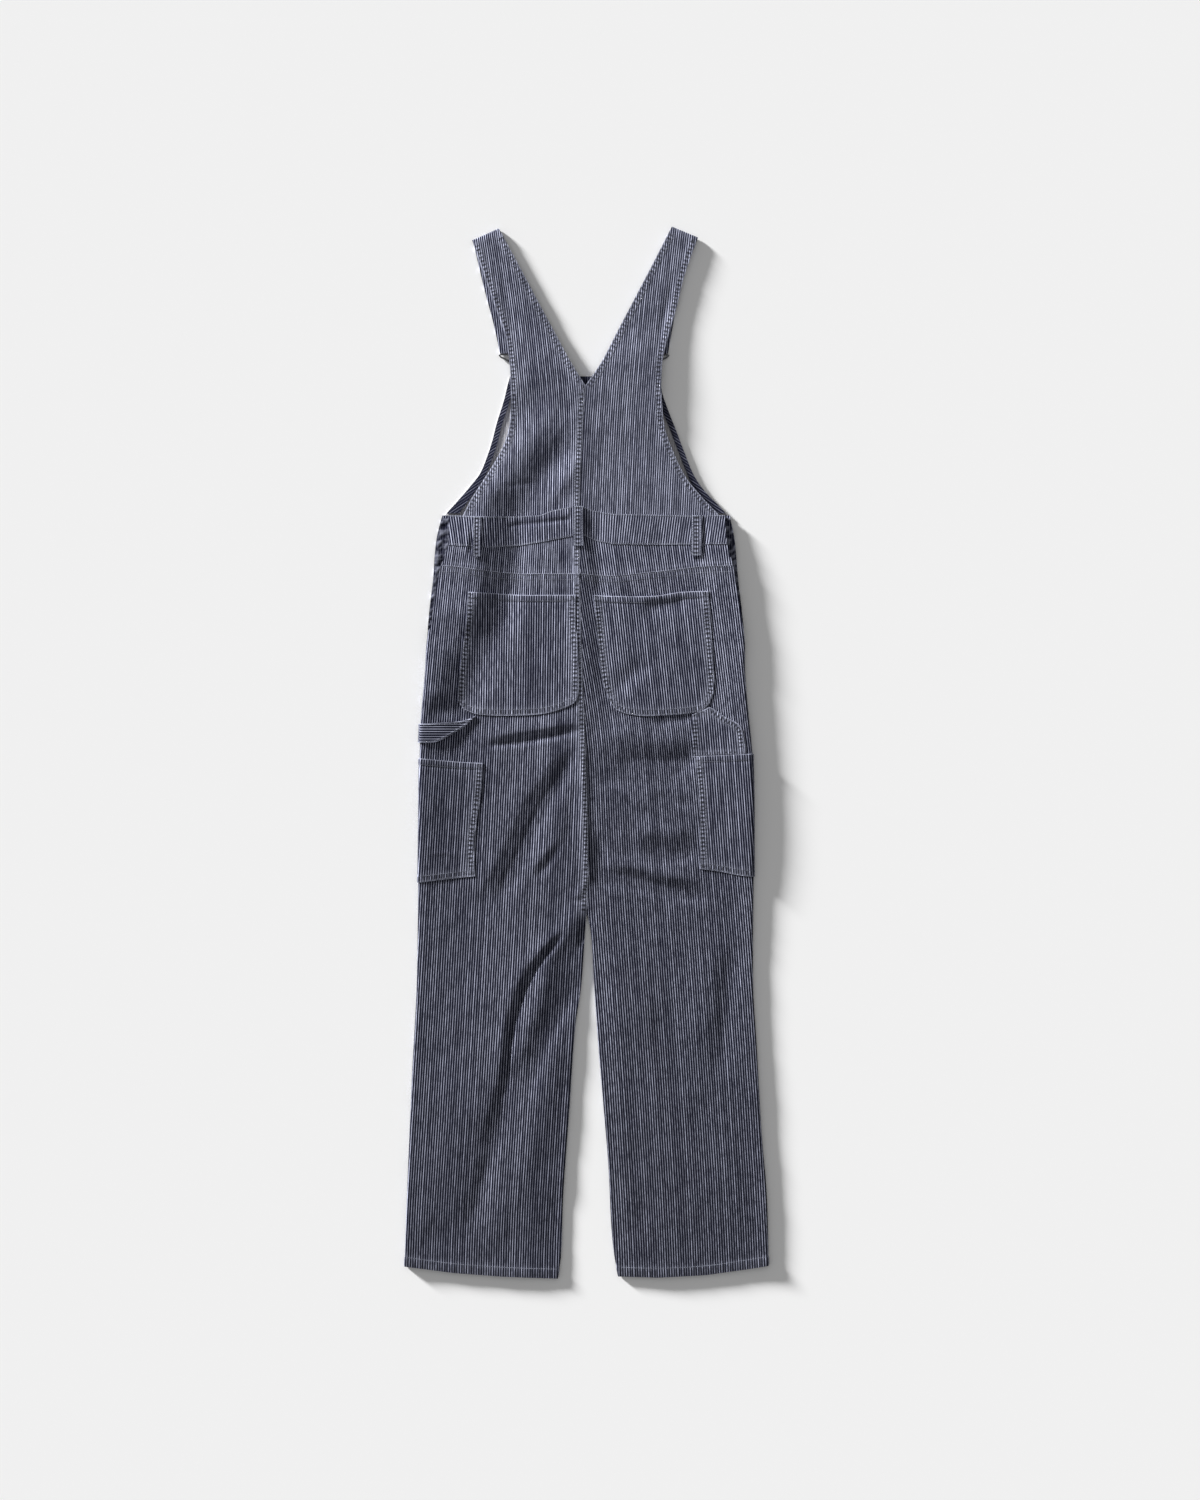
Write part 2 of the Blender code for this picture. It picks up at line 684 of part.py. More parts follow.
def bib_button(side, across):
    """A shanked button, turned about its own axis, standing on the bib's top edge."""
    seat = WALL + CLEAR + FACING_WALL + CLEAR
    profile = (
        (0.0, BUTTON_TOP), (BUTTON_CAP - 1.2, BUTTON_TOP), (BUTTON_CAP, BUTTON_TOP - 0.6),
        (BUTTON_CAP, BUTTON_TOP - 1.2), (BUTTON_SHANK, BUTTON_TOP - 1.2), (BUTTON_SHANK, seat), (0.0, seat),
    )
    mesh = bmesh.new()
    verts = [mesh.verts.new((radius * MM, 0, height * MM)) for radius, height in profile]
    for first, last in zip(verts, verts[1:]):
        mesh.edges.new((first, last))
    data = bpy.data.meshes.new(f"bib_button_{side}")
    mesh.to_mesh(data)
    mesh.free()
    made = add_object(data.name, data, PIECES, STEEL, roughness=0.4, metallic=1.0)
    made.location = place(across, BUTTON_UP, 0) * MM
    turn = made.modifiers.new("turn", "SCREW")
    turn.steps = turn.render_steps = 16
    turn.use_merge_vertices = True
    turn.merge_threshold = 0.00001


def front():
    up = Vector((0, 0, 1))
    for side in ("left", "right"):
        cloth(f"front_leg_{side}", leg_sheet(side, False), WALL, DENIM)
    left = lambda level: smooth(LEFT_SIDE + LEFT_FRONT_HIP, level)
    right = lambda level: smooth(RIGHT_SIDE + RIGHT_FRONT_HIP, level)
    band_rows = (FRONT_BAND_BOTTOM + SEAM / 2, FRONT_BAND_TOP - SEAM / 2)
    cloth("front_waistband", level_sheet(left, right, band_rows, 6, 0.0, up), BAND_WALL, DENIM)
    left_bib = lambda level: smooth(LEFT_BIB, level)
    right_bib = lambda level: smooth(RIGHT_BIB, level)
    rows = even(FRONT_BAND_TOP + SEAM / 2, BIB_TOP, 12)
    cloth("bib", level_sheet(left_bib, right_bib, rows, 6, 0.0, up), WALL, DENIM_WRONG)

    down = Vector((0, 0, -1))
    level = WALL + CLEAR + FACING_WALL
    rows = even(FRONT_BAND_TOP + 3, BIB_TOP - TOP_FACING - SEAM, 11)
    inner = lambda up: smooth(LEFT_BIB, up) + straight(FACING_WIDTH, up)
    cloth("bib_facing_left", level_sheet(left_bib, inner, rows, 2, level, down), FACING_WALL, DENIM)
    inner = lambda up: smooth(RIGHT_BIB, up) - straight(FACING_WIDTH, up)
    cloth("bib_facing_right", level_sheet(inner, right_bib, rows, 2, level, down), FACING_WALL, DENIM)
    rows = (BIB_TOP - TOP_FACING, BIB_TOP)
    cloth("bib_facing_top", level_sheet(left_bib, right_bib, rows, 6, level, down), FACING_WALL, DENIM)
    for side in ("left", "right"):
        cloth(f"placket_{side}", placket_sheet(side), PLACKET_WALL, DENIM)


def back():
    legs = {side: leg_sheet(side, True) for side in ("left", "right")}
    for side in ("left", "right"):
        cloth(f"back_leg_{side}", legs[side], WALL, DENIM)
        cloth(f"back_yoke_{side}", yoke_sheet(side), WALL, DENIM)
        cloth(f"back_bodice_{side}", bodice_sheet(side), BODICE_WALL, DENIM_LIGHT)
    cloth("back_waistband", band_sheet(), BAND_WALL, DENIM)
    pocket("back_pocket_left", legs["left"], BACK_POCKET_LEFT)
    pocket("back_pocket_right", legs["right"], BACK_POCKET_RIGHT)
    pocket("side_pocket_left", legs["left"], SIDE_POCKET_LEFT)
    pocket("side_pocket_right", legs["right"], SIDE_POCKET_RIGHT)
    pocket("tool_pocket_right", legs["right"], TOOL_POCKET)
    pocket("hammer_loop", legs["left"], HAMMER_LOOP, LOOP_WALL)
    for name, *sizes in BELT_LOOPS:
        cloth(name, belt_loop_sheet(*sizes), LOOP_WALL, DENIM_LIGHT)


def hardware():
    for side, middle, button in HARDWARE:
        strap_loop(side, middle, button)
        bib_button(side, button)


for old in list(bpy.data.objects):
    bpy.data.objects.remove(old, do_unlink=True)

PIECES = bpy.data.collections.new("overalls")
CUTTERS = bpy.data.collections.new("outlines")
bpy.context.scene.collection.children.link(PIECES)
bpy.context.scene.collection.children.link(CUTTERS)

front()
back()
hardware()
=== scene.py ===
"""Bib overalls laid flat on their front, seen from the back: the cloth, its stitching and its metal.

Tables are in millimetres: across is measured from the middle of the garment to the right as it is
seen from above, and up is measured from the hem towards the straps. A sheet of cloth is a grid of
places, each with the way into the cloth from its outer face. Its stripes follow a UV map in metres
called grain, and a second one called sewn holds the way along the nearest seam and the way from it.
"""

import math

import bmesh
import bpy
import numpy as np
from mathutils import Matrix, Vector


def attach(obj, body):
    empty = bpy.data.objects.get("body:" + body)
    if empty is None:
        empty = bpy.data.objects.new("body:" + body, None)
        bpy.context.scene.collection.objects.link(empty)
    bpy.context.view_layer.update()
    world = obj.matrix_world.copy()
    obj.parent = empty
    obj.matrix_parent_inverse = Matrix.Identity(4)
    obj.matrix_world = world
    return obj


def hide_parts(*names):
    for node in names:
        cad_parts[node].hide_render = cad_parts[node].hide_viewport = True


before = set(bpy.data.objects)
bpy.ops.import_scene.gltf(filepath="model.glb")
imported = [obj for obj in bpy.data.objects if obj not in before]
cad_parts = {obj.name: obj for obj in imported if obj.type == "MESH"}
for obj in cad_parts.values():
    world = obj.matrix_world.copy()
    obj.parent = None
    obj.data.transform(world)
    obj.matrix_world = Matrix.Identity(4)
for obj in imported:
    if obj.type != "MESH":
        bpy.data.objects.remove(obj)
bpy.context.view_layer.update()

MM = 0.001

# Driving sizes
LENGTH = 1453.0
WALL = 1.5
BODICE_WALL = 2.0
BAND_WALL = 2.6
POCKET_WALL = 1.0
LOOP_WALL = 2.4
BELT_LOOP_WALL = 1.2
SEAM = 0.3
CLEAR = 0.3

# The folded side of a leg: how far in it rounds over, the height where its two halves meet, how
# round it is, how soon its face turns level, and its fullness
FOLD_REACH = 4.2
FOLD_MIDDLE = 3.2
FOLD_POWER = 3.0
FOLD_ROLL = 0.3
FOLD_SWELL = 1.2
FOLD_SWELL_REACH = 22.0
INSEAM_SWELL = -0.9
LOWEST_BACK = 3.9
# The hips stand fuller at their outer sides: height, reach, and where it starts and ends going up
HIP_SWELL = 3.6
HIP_SWELL_REACH = 42.0
HIP_SWELL_LOW = (500.0, 640.0)
HIP_SWELL_HIGH = (1000.0, 1056.0)

CROTCH = 506.0
CROTCH_OPENS = 50.0
SIDE_CLOSES = (850.0, 900.0)
BAND_RISE = 0.8

# Outlines: up, across
LEFT_SIDE = (
    (0, -252), (116, -248), (281, -241), (409, -234.5), (592, -232), (758, -229.5), (840, -223),
    (880, -220.5),
)
RIGHT_SIDE = (
    (0, 252), (116, 249), (199, 242), (323, 235), (409, 230), (592, 231), (716, 229.5), (799, 222),
    (840, 219), (880, 218.5),
)
LEFT_FRONT_HIP = ((923, -217), (965, -212), (1006, -209), (1027, -206), (1058, -198))
RIGHT_FRONT_HIP = ((923, 214.5), (965, 209.5), (1006, 206), (1027, 203.5), (1058, 196.5))
LEFT_BACK_HIP = ((912, -213), (962, -206), (984, -200.5), (1012, -191), (1058, -189.5))
RIGHT_BACK_HIP = ((916, 213), (953, 207), (984, 202), (1014, 194), (1058, 190.5))
CENTRE = (
    (506, 0), (560, 3), (654, 2), (758, -2), (860, -6), (973, -9), (1058, -9), (1120, -7),
    (1190, -4), (1233, -1.5),
)
LEFT_INSEAM = (
    (0, -40), (33, -35), (116, -32), (240, -23), (343, -16), (402, -7.5), (462, -3), (506, 0),
)
RIGHT_INSEAM = (
    (0, 44.5), (33, 38), (74, 34), (157, 30), (240, 23), (323, 16), (403, 10.5), (477, 6), (506, 0),
)
LEFT_BIB = (
    (1054, -196), (1075, -177), (1093, -161.5), (1112, -147), (1136, -137), (1156, -130.5),
    (1183, -123.5), (1213, -114), (1232, -109.5), (1247, -105.5),
)
RIGHT_BIB = (
    (1054, 195), (1069, 181), (1087, 163.5), (1109, 148.5), (1143, 134.5), (1172, 123.5),
    (1200, 112.5), (1224, 104.5), (1247, 102.5),
)

# Seams and hems: across, up
LEFT_HEM = ((-252, 17), (-184, 8), (-118, 3), (-40, 0))
RIGHT_HEM = ((43, 3), (100, 1.5), (165, 5), (222, 13), (252, 18))
YOKE_SEAM = (
    (-210, 985), (-178, 982.5), (-151, 978.5), (-119, 974.5), (-92, 973), (-9, 973), (10, 971),
    (43, 970), (80, 974), (118, 978), (155, 982.5), (210, 985),
)
BAND_BOTTOM = (
    (-200, 1013), (-136, 1009), (-92, 1012), (-67, 1016), (-20, 1025), (-4, 1026), (12, 1019),
    (36, 1014), (80, 1013), (200, 1014),
)
BAND_TOP = (
    (-200, 1054), (-136, 1052), (-88, 1053), (-64, 1054), (-50, 1060), (-20, 1066), (-2, 1065),
    (12, 1060), (36, 1056), (132, 1054), (200, 1054),
)
FRONT_BAND = (1013.0, 1054.0)
BIB_TOP = 1246.0

# Height of the back's outer face above the floor: up, height
BACK_HEIGHT = (
    (0, 6), (506, 6.5), (800, 7), (900, 8), (1000, 8.6), (1060, 8.6), (1150, 8.4), (1228, 10.4),
    (1268, 10.4), (1320, 7.2), (1390, 6.4), (1460, 6.2),
)

# Folds: height (a trough is below 0), half width to the left and to the right of the line, and the
# line's places (across, up). A line is drawn downwards, or from left to right
FOLDS = (
    # left leg, down from the crotch
    (-3.8, 4, 5, ((-26, 486), (-37, 471), (-59, 445), (-73, 426), (-86, 401), (-94, 377), (-101, 355),
                  (-104, 339), (-108, 305), (-112, 276), (-116, 240))),
    (1.8, 5, 12, ((-31, 489), (-43, 476), (-65, 450), (-79, 431), (-93, 405), (-101, 379), (-108, 357),
                  (-115, 305), (-119, 276), (-123, 240))),
    (-2.2, 14, 24, ((-108, 310), (-118, 240), (-131, 185), (-150, 120), (-166, 55))),
    (2.6, 14, 14, ((5, 530), (-12, 506), (-33, 475), (-50, 443), (-60, 406), (-70, 371), (-84, 330),
                   (-100, 281))),
    (-2.6, 10, 22, ((-2, 440), (-12, 399), (-32, 371), (-54, 330), (-72, 281), (-92, 233))),
    (3.4, 15, 60, ((-34, 493), (-50, 476), (-75, 449), (-91, 431), (-104, 405), (-113, 379),
                   (-119, 357), (-126, 305), (-131, 270), (-138, 235), (-150, 190))),
    (2.2, 19, 60, ((-130, 285), (-138, 240), (-150, 190), (-165, 125), (-178, 50))),
    (1.6, 18, 26, ((-34, 350), (-42, 316), (-54, 247), (-74, 178), (-99, 123), (-124, 68), (-142, 30))),
    (-1.4, 16, 20, ((-34, 140), (-41, 70), (-48, 10))),
    (-3.4, 8, 6, ((3, 515), (-1, 482), (-12, 447))),
    (1.3, 5, 5, ((8, 570), (-3, 544), (-20, 516))),
    # left thigh
    (-3.4, 14, 9, ((-10, 744), (-32, 699), (-56, 661), (-76, 620), (-100, 567), (-130, 512))),
    (2.2, 9, 26, ((-36, 744), (-58, 702), (-86, 664), (-106, 622), (-130, 570), (-160, 518))),
    (-3.0, 4, 4, ((-152, 733), (-134, 736), (-78, 743), (-12, 756), (6, 760))),
    (2.4, 16, 4, ((-152, 746), (-134, 748), (-85, 756), (-12, 768), (6, 771))),
    (-1.8, 10, 10, ((-150, 769), (-172, 744), (-191, 719))),
    (1.8, 14, 8, ((-226, 812), (-200, 809), (-170, 801))),
    (-2.0, 8, 10, ((-222, 786), (-196, 787), (-166, 787))),
    (-1.8, 6, 5, ((-34, 606), (-50, 580), (-72, 548))),
    (1.2, 5, 8, ((-46, 610), (-62, 584), (-82, 554))),
    # bodice, waist and seat
    (3.6, 34, 21, ((-22, 1222), (-38, 1202), (-60, 1170), (-85, 1145), (-110, 1117), (-124, 1088),
                   (-132, 1058))),
    (6.6, 24, 43, ((-122, 1118), (-139, 1078), (-146, 1047), (-148, 992), (-154, 950), (-162, 915),
                   (-173, 880))),
    (-3.3, 18, 20, ((-10, 1165), (-30, 1146), (-56, 1118), (-80, 1085), (-92, 1047), (-95, 992),
                    (-103, 950), (-112, 915), (-125, 880))),
    (2.8, 22, 30, ((-158, 955), (-168, 915), (-184, 868), (-199, 830), (-213, 775))),
    (-2.4, 20, 20, ((-106, 945), (-124, 900), (-146, 850), (-166, 805), (-182, 760))),
    (-1.6, 8, 8, ((-152, 938), (-135, 933), (-114, 930))),
    (1.6, 8, 13, ((-10, 1136), (-30, 1098), (-60, 1060))),
    (0.9, 16, 16, ((-194, 1075), (-196, 1040), (-203, 995), (-212, 960))),
    (2.0, 22, 24, ((-5, 1213), (-8, 1158), (-15, 1110), (-19, 1061), (-14, 1027))),
    (1.4, 12, 13, ((-14, 1050), (-9, 992), (-9, 937), (-8, 854), (-6, 744), (-5, 633), (-2, 545))),
    (0.9, 10, 12, ((-10, 1020), (-9, 975), (-8, 925))),
    (1.4, 6, 6, ((-6, 765), (-4, 690), (-1, 610), (3, 540))),
    (-2.2, 13, 9, ((6, 1078), (10, 1040), (16, 1000), (19, 955), (21, 915))),
    (-1.6, 14, 10, ((19, 950), (20, 868), (22, 795))),
    (1.6, 30, 30, ((-206, 900), (-214, 830), (-222, 745))),
    (-3.2, 6, 14, ((70, 928), (112, 932), (150, 938))),
    (-2.6, 16, 12, ((30, 802), (60, 832), (92, 856))),
    (-1.0, 14, 14, ((35, 882), (32, 827), (43, 792))),
    (-1.5, 6, 5, ((70, 766), (115, 769), (150, 776), (172, 786))),
    # right thigh
    (4.0, 16, 18, ((12, 755), (60, 751), (100, 743), (130, 743), (158, 752))),
    (-2.5, 30, 12, ((8, 692), (74, 688), (129, 684), (154, 684))),
    (-3.6, 16, 9, ((36, 724), (74, 708), (110, 703), (136, 710), (160, 732))),
    (1.8, 5, 5, ((12, 691), (25, 683), (56, 668), (94, 645), (129, 621), (156, 603))),
    (-2.4, 8, 6, ((92, 674), (120, 659), (152, 648))),
    (3.2, 14, 12, ((62, 628), (106, 615), (156, 614))),
    (-3.8, 13, 9, ((72, 606), (94, 590), (116, 582), (140, 582), (160, 598))),
    (3.2, 10, 7, ((16, 577), (60, 570), (100, 560), (164, 544))),
    (-4.8, 8, 10, ((6, 560), (50, 551), (90, 541), (130, 532), (174, 520))),
    (-3.2, 11, 9, ((14, 616), (19, 570), (23, 525))),
    # lower right leg
    (1.3, 24, 60, ((16, 400), (55, 372), (110, 352))),
    (-2.4, 14, 14, ((200, 475), (199, 430), (193, 370), (185, 300), (179, 262))),
    (0.9, 18, 18, ((166, 470), (168, 400), (158, 310))),
)
FOLD_TAPER = 45.0
SMALL_FOLDS = (
    (-0.8, 3, 3, ((-122, 1092), (-92, 1097), (-56, 1103))),
    (-1.2, 2.5, 2.5, ((-24, 523), (-12, 522), (-1, 523))),
    (0.7, 3, 3, ((-222, 676), (-196, 662), (-166, 640))),
    (0.6, 3, 3, ((-222, 586), (-194, 588), (-166, 580))),
    (0.8, 7, 7, ((-28, 640), (-44, 600), (-64, 560))),
    (-0.7, 6, 6, ((-12, 700), (-20, 650), (-24, 590))),
    (-0.8, 10, 10, ((-119, 206), (-140, 137), (-172, 54))),
    (0.7, 12, 12, ((-202, 192), (-216, 109), (-230, 40))),
    (0.6, 14, 14, ((-200, 520), (-206, 440), (-211, 340))),
    (-0.7, 10, 10, ((143, 240), (159, 206), (176, 164))),
    (0.7, 14, 14, ((70, 420), (95, 300), (100, 180))),
    (-0.6, 18, 18, ((110, 450), (120, 330), (115, 210))),
    (-0.6, 12, 12, ((60, 200), (75, 120), (85, 40))),
    (0.6, 12, 12, ((190, 200), (205, 130), (212, 60))),
    (-0.7, 9, 9, ((40, 1180), (80, 1120), (105, 1080))),
    (0.6, 10, 10, ((60, 1215), (75, 1150), (95, 1100))),
    (-1.1, 7, 10, ((-66, 1360), (-46, 1306), (-22, 1258))),
    (-0.5, 4, 4, ((124, 1400), (108, 1335), (94, 1262))),
    (-0.5, 7, 7, ((-120, 1400), (-108, 1340), (-92, 1280))),
    (-0.5, 6, 6, ((128, 1400), (108, 1330), (88, 1280))),
    (0.5, 6, 6, ((-72, 1000), (-45, 1006), (-20, 1003))),
    (0.5, 5, 5, ((-66, 992), (-42, 996), (-24, 992))),
)
# Hollows in the band and the yoke beside the belt loops: depth, half widths and line
LOOP_HOLLOWS = (
    (2.6, 2.2, 2.2, ((-158.0, 1036), (-159.0, 1016), (-160.5, 996))),
    (2.2, 2.6, 2.2, ((-2.6, 1058), (-2.4, 1040), (-1.8, 1016))),
    (1.6, 2.4, 2.4, ((160.5, 1050), (161.5, 1030), (161, 1000))),
)
# The cloth's own unevenness: height, and size across
UNEVEN = ((0.30, 95.0, 3), (0.12, 38.0, 5), (0.05, 15.0, 8))

# Half of the back bodice and its strap, from the waist to the top of the strap:
# outer edge across and up, inner edge across and up
LEFT_BODICE = (
    (-159, 1076, -8.5, 1088),
    (-136, 1112, -7.2, 1121),
    (-117, 1145, -5.3, 1155),
    (-107, 1175, -4, 1190),
    (-104, 1213, -1.5, 1233),
    (-106, 1262, -22, 1266),
    (-112.5, 1305, -43.5, 1306),
    (-125, 1340, -65.5, 1347),
    (-140, 1383, -90, 1393),
    (-155, 1425, -115, 1439.5),
)
RIGHT_BODICE = (
    (161, 1077, -8.5, 1088),
    (136, 1108, -7.2, 1121),
    (115.5, 1152, -5.3, 1155),
    (107, 1181, -4, 1190),
    (103, 1224, -1.5, 1233),
    (105, 1268, 20.8, 1266),
    (114, 1306, 41.5, 1306),
    (124.5, 1341, 63, 1347),
    (135, 1384, 87, 1393),
    (150.5, 1429, 113, 1443.5),
)
NOTCH_ROW = 5
# The strap's end, turned under at the top and laid on the floor, in the same columns
LEFT_STRAP_END = (
    (-155, 1425, -116, 1440),
    (-141.5, 1368, -100, 1378),
    (-129, 1321, -87, 1324),
    (-119.5, 1278, -78, 1278),
)
RIGHT_STRAP_END = (
    (150.5, 1428, 113, 1443),
    (132, 1381, 91, 1387),
    (121.5, 1328, 80, 1331),
    (112.5, 1278, 71, 1278),
)
STRAP_TOP = {"left": (-158, 1434, -121, 1450.5), "right": (154, 1438, 118, LENGTH)}
# The bodice's stripes lie closer than the legs'
BODICE_FINER = 1.1
BODICE_WEAR = {"left": 0.02, "right": 0.2}
# The waistband is worn on its right: how much, where that starts and how far it takes
BAND_WEAR = 0.14
BAND_WEAR_FROM = -30.0
BAND_WEAR_OVER = 50.0
BAND_MIDDLE = 1030.0
# The crease along the waistband's left and the lip over it: height, half width and line
BAND_CREASE = (
    (-1.3, 2.6, ((-104, 1040), (-60, 1044), (-26, 1048))),
    (0.5, 5.0, ((-100, 1048), (-60, 1052), (-26, 1056))),
)
# How far the yoke's stripes are out of step with the leg's
YOKE_GRAIN = 1.3
BODICE_WAIST = {"left": -170.5, "right": 183.0}
BODICE_CENTRE = 1060.0
# The bodice's grid: shares of the way across, and rows at the waist, below the notch, above it,
# round the strap's top and on its end
END_SHARES = np.array((0, 0.006, 0.02, 0.045))
BODICE_SHARES = np.concatenate((END_SHARES, np.linspace(0.07, 0.93, 38), 1 - END_SHARES[::-1]))
WAIST_SHARES = (0.0, 0.25, 0.5, 0.75)
LOWER_ROWS = 46
UPPER_ROWS = 62
TURN_STEPS = 10
STRAP_END_ROWS = 24

# Pocket outlines in four sides: top, right, bottom and left, each across and up. They meet at
# their ends, and a side on the fold of the leg is None
POCKETS = {
    "back_pocket_left": (
        ((-163.5, 948), (-125, 946), (-90, 944), (-50, 944), (-14.5, 944)),
        ((-14.5, 944), (-15.5, 916), (-11.7, 864), (-11.7, 804.5), (-17, 795)),
        ((-173, 791), (-169, 786), (-151, 779.5), (-110, 777.5), (-60, 780), (-31, 788), (-17, 795)),
        ((-163.5, 948), (-165.5, 913), (-176, 829), (-177.3, 798), (-173, 791)),
    ),
    "back_pocket_right": (
        ((10.4, 944), (32, 942.5), (92, 942.5), (130, 948), (168, 949.5)),
        ((168, 949.5), (173, 878), (175.8, 814), (169, 793.5)),
        ((32.4, 796), (41, 786), (56, 780), (85, 777), (144, 781), (160, 785.5), (169, 793.5)),
        ((10.4, 944), (10.6, 934), (16, 878), (21.4, 828), (32.4, 796)),
    ),
    "side_pocket_left": (
        (None, (-180, 714), (-143, 712)),
        ((-143, 712), (-145.5, 672), (-151, 636), (-155.3, 602), (-154, 556)),
        (None, (-200, 551), (-154, 556)),
        (718.5, 547.0),
    ),
    "side_pocket_right": (
        ((146.3, 721.5), (190, 723), None),
        (725.0, 555.0),
        ((157, 566), (187, 561.7), (208, 557.5), None),
        ((146.3, 721.5), (149.5, 716), (155.3, 672), (156.6, 602), (157, 566)),
    ),
}

# The tables of the two sides
SIDES = ("left", "right")
SIDE = dict(zip(SIDES, (LEFT_SIDE, RIGHT_SIDE)))
FRONT_HIP = dict(zip(SIDES, (LEFT_FRONT_HIP, RIGHT_FRONT_HIP)))
BACK_HIP = dict(zip(SIDES, (LEFT_BACK_HIP, RIGHT_BACK_HIP)))
INSEAM = dict(zip(SIDES, (LEFT_INSEAM, RIGHT_INSEAM)))
HEM = dict(zip(SIDES, (LEFT_HEM, RIGHT_HEM)))
BIB = dict(zip(SIDES, (LEFT_BIB, RIGHT_BIB)))
BODICE = dict(zip(SIDES, (LEFT_BODICE, RIGHT_BODICE)))
STRAP_END = dict(zip(SIDES, (LEFT_STRAP_END, RIGHT_STRAP_END)))


def straight(rows, place):
    """The value at a place on straight lines through rows of (place, value)."""
    return np.interp(place, [row[0] for row in rows], [row[1] for row in rows])


def smooth(rows, place):
    """The value at a place on a smooth curve through rows of (place, value)."""
    at = np.array([row[0] for row in rows], float)
    value = np.array([row[1] for row in rows], float)
    last = len(at) - 1
    low, high = np.maximum(np.arange(last + 1) - 1, 0), np.minimum(np.arange(last + 1) + 1, last)
    slope = (value[high] - value[low]) / (at[high] - at[low])
    place = np.clip(place, at[0], at[-1])
    k = np.minimum(np.searchsorted(at[1:], place), last - 1)
    step = at[k + 1] - at[k]
    t = (place - at[k]) / step
    return (
        (2 * t**3 - 3 * t**2 + 1) * value[k]
        + (t**3 - 2 * t**2 + t) * step * slope[k]
        + (3 * t**2 - 2 * t**3) * value[k + 1]
        + (t**3 - t**2) * step * slope[k + 1]
    )


def ease(share):
    """0 to 1, with a soft start and end."""
    share = np.clip(share, 0.0, 1.0)
    return share * share * (3 - 2 * share)


def bump(distance, half):
    """1 at a line and 0 away from it, as round as a soft ridge."""
    return np.exp(-((distance / half) ** 2))


def nearest(across, up, line):
    """The distance to a line of (across, up), the way along it, its length and the side."""
    points = np.array(line, float)
    best = np.full(np.shape(across), 1e9)
    along = np.zeros(np.shape(across))
    side = np.zeros(np.shape(across))
    total = 0.0
    for first, last in zip(points, points[1:]):
        run = last - first
        length = np.hypot(*run)
        share = np.clip(
            ((across - first[0]) * run[0] + (up - first[1]) * run[1]) / length**2, 0.0, 1.0
        )
        east, north = across - first[0] - run[0] * share, up - first[1] - run[1] * share
        away = np.hypot(east, north)
        closer = away < best
        along = np.where(closer, total + share * length, along)
        side = np.where(closer, np.sign(run[0] * north - run[1] * east), side)
        best = np.minimum(best, away)
        total += length
    return best, along, total, side


def folds_at(across, up, folds):
    """The sum of all the folds at a place: each is a soft ridge or trough that fades at its ends."""
    height = np.zeros(np.shape(across))
    for rise, half_left, half_right, line in folds:
        away, along, total, side = nearest(across, up, line)
        taper = min(FOLD_TAPER, 0.35 * total)
        strength = ease(along / taper) * ease((total - along) / taper)
        height += rise * strength * bump(away, np.where(side > 0, half_left, half_right))
    return height


def hip_swell(across, up):
    """The hips' fullness at a place: greatest at the outer sides."""
    left, right = (smooth(SIDE[side] + BACK_HIP[side], up) for side in SIDES)
    near = np.maximum(np.minimum(across - left, right - across), 0.0)
    share = ease((up - HIP_SWELL_LOW[0]) / (HIP_SWELL_LOW[1] - HIP_SWELL_LOW[0]))
    share *= 1 - ease((up - HIP_SWELL_HIGH[0]) / (HIP_SWELL_HIGH[1] - HIP_SWELL_HIGH[0]))
    return HIP_SWELL * share * bump(near, HIP_SWELL_REACH)


def uneven(across, up, rows=UNEVEN):
    """A soft random unevenness: the sum of a few long waves in many directions."""
    height = np.zeros(np.shape(across))
    for rise, size, seed in rows:
        draw = np.random.default_rng(seed)
        for _ in range(9):
            turn, start = draw.uniform(0, math.pi), draw.uniform(0, 2 * math.pi)
            reach = 2 * math.pi / (size * draw.uniform(0.7, 1.5))
            height += rise / 3 * np.sin(
                (across * math.cos(turn) + up * math.sin(turn)) * reach + start
            )
    return height


def back_height(across, up):
    """Height of the back's outer face, with its folds and without its rounded sides."""
    height = smooth(BACK_HEIGHT, up) + hip_swell(across, up) + folds_at(across, up, FOLDS)
    height += folds_at(across, up, SMALL_FOLDS) + uneven(across, up)
    return np.maximum(height, LOWEST_BACK)


def round_over(distance):
    """0 at a folded side and 1 where the cloth is level."""
    inside = 1 - np.clip(distance / FOLD_REACH, 0.0, 1.0)
    return (1 - inside**FOLD_POWER) ** (1 / FOLD_POWER)


def place(across, up, height):
    """A place in the shared frame, in millimetres."""
    across, up, height = np.broadcast_arrays(across, up, height)
    return np.stack((across, up - LENGTH / 2, height), axis=-1).astype(float)


def facing(shape, way):
    return np.broadcast_to(np.array(way, float), (*shape, 3)).copy()


def side_fold(up):
    """How far the side is folded over: 1 down the leg, 0 beside the side opening."""
    return 1 - ease((up - SIDE_CLOSES[0]) / (SIDE_CLOSES[1] - SIDE_CLOSES[0]))


def inseam_fold(up):
    """How far the inner edge is folded over: 1 down the leg, 0 above the crotch."""
    return ease((CROTCH - up) / CROTCH_OPENS)


def edge_of(rows):
    """An edge, as a function of up."""
    return lambda up: smooth(rows, up)


def leg_edges(side, hip=None):
    """The leg's two edges, as functions of up, from the lower across to the higher."""
    outer = edge_of(SIDE[side] + (hip or BACK_HIP[side]))
    inner = lambda up: np.where(up >= CROTCH, smooth(CENTRE, up), smooth(INSEAM[side], up))
    if side == "left":
        return outer, (lambda up: inner(up) - SEAM / 2)
    return (lambda up: inner(up) + SEAM / 2), outer


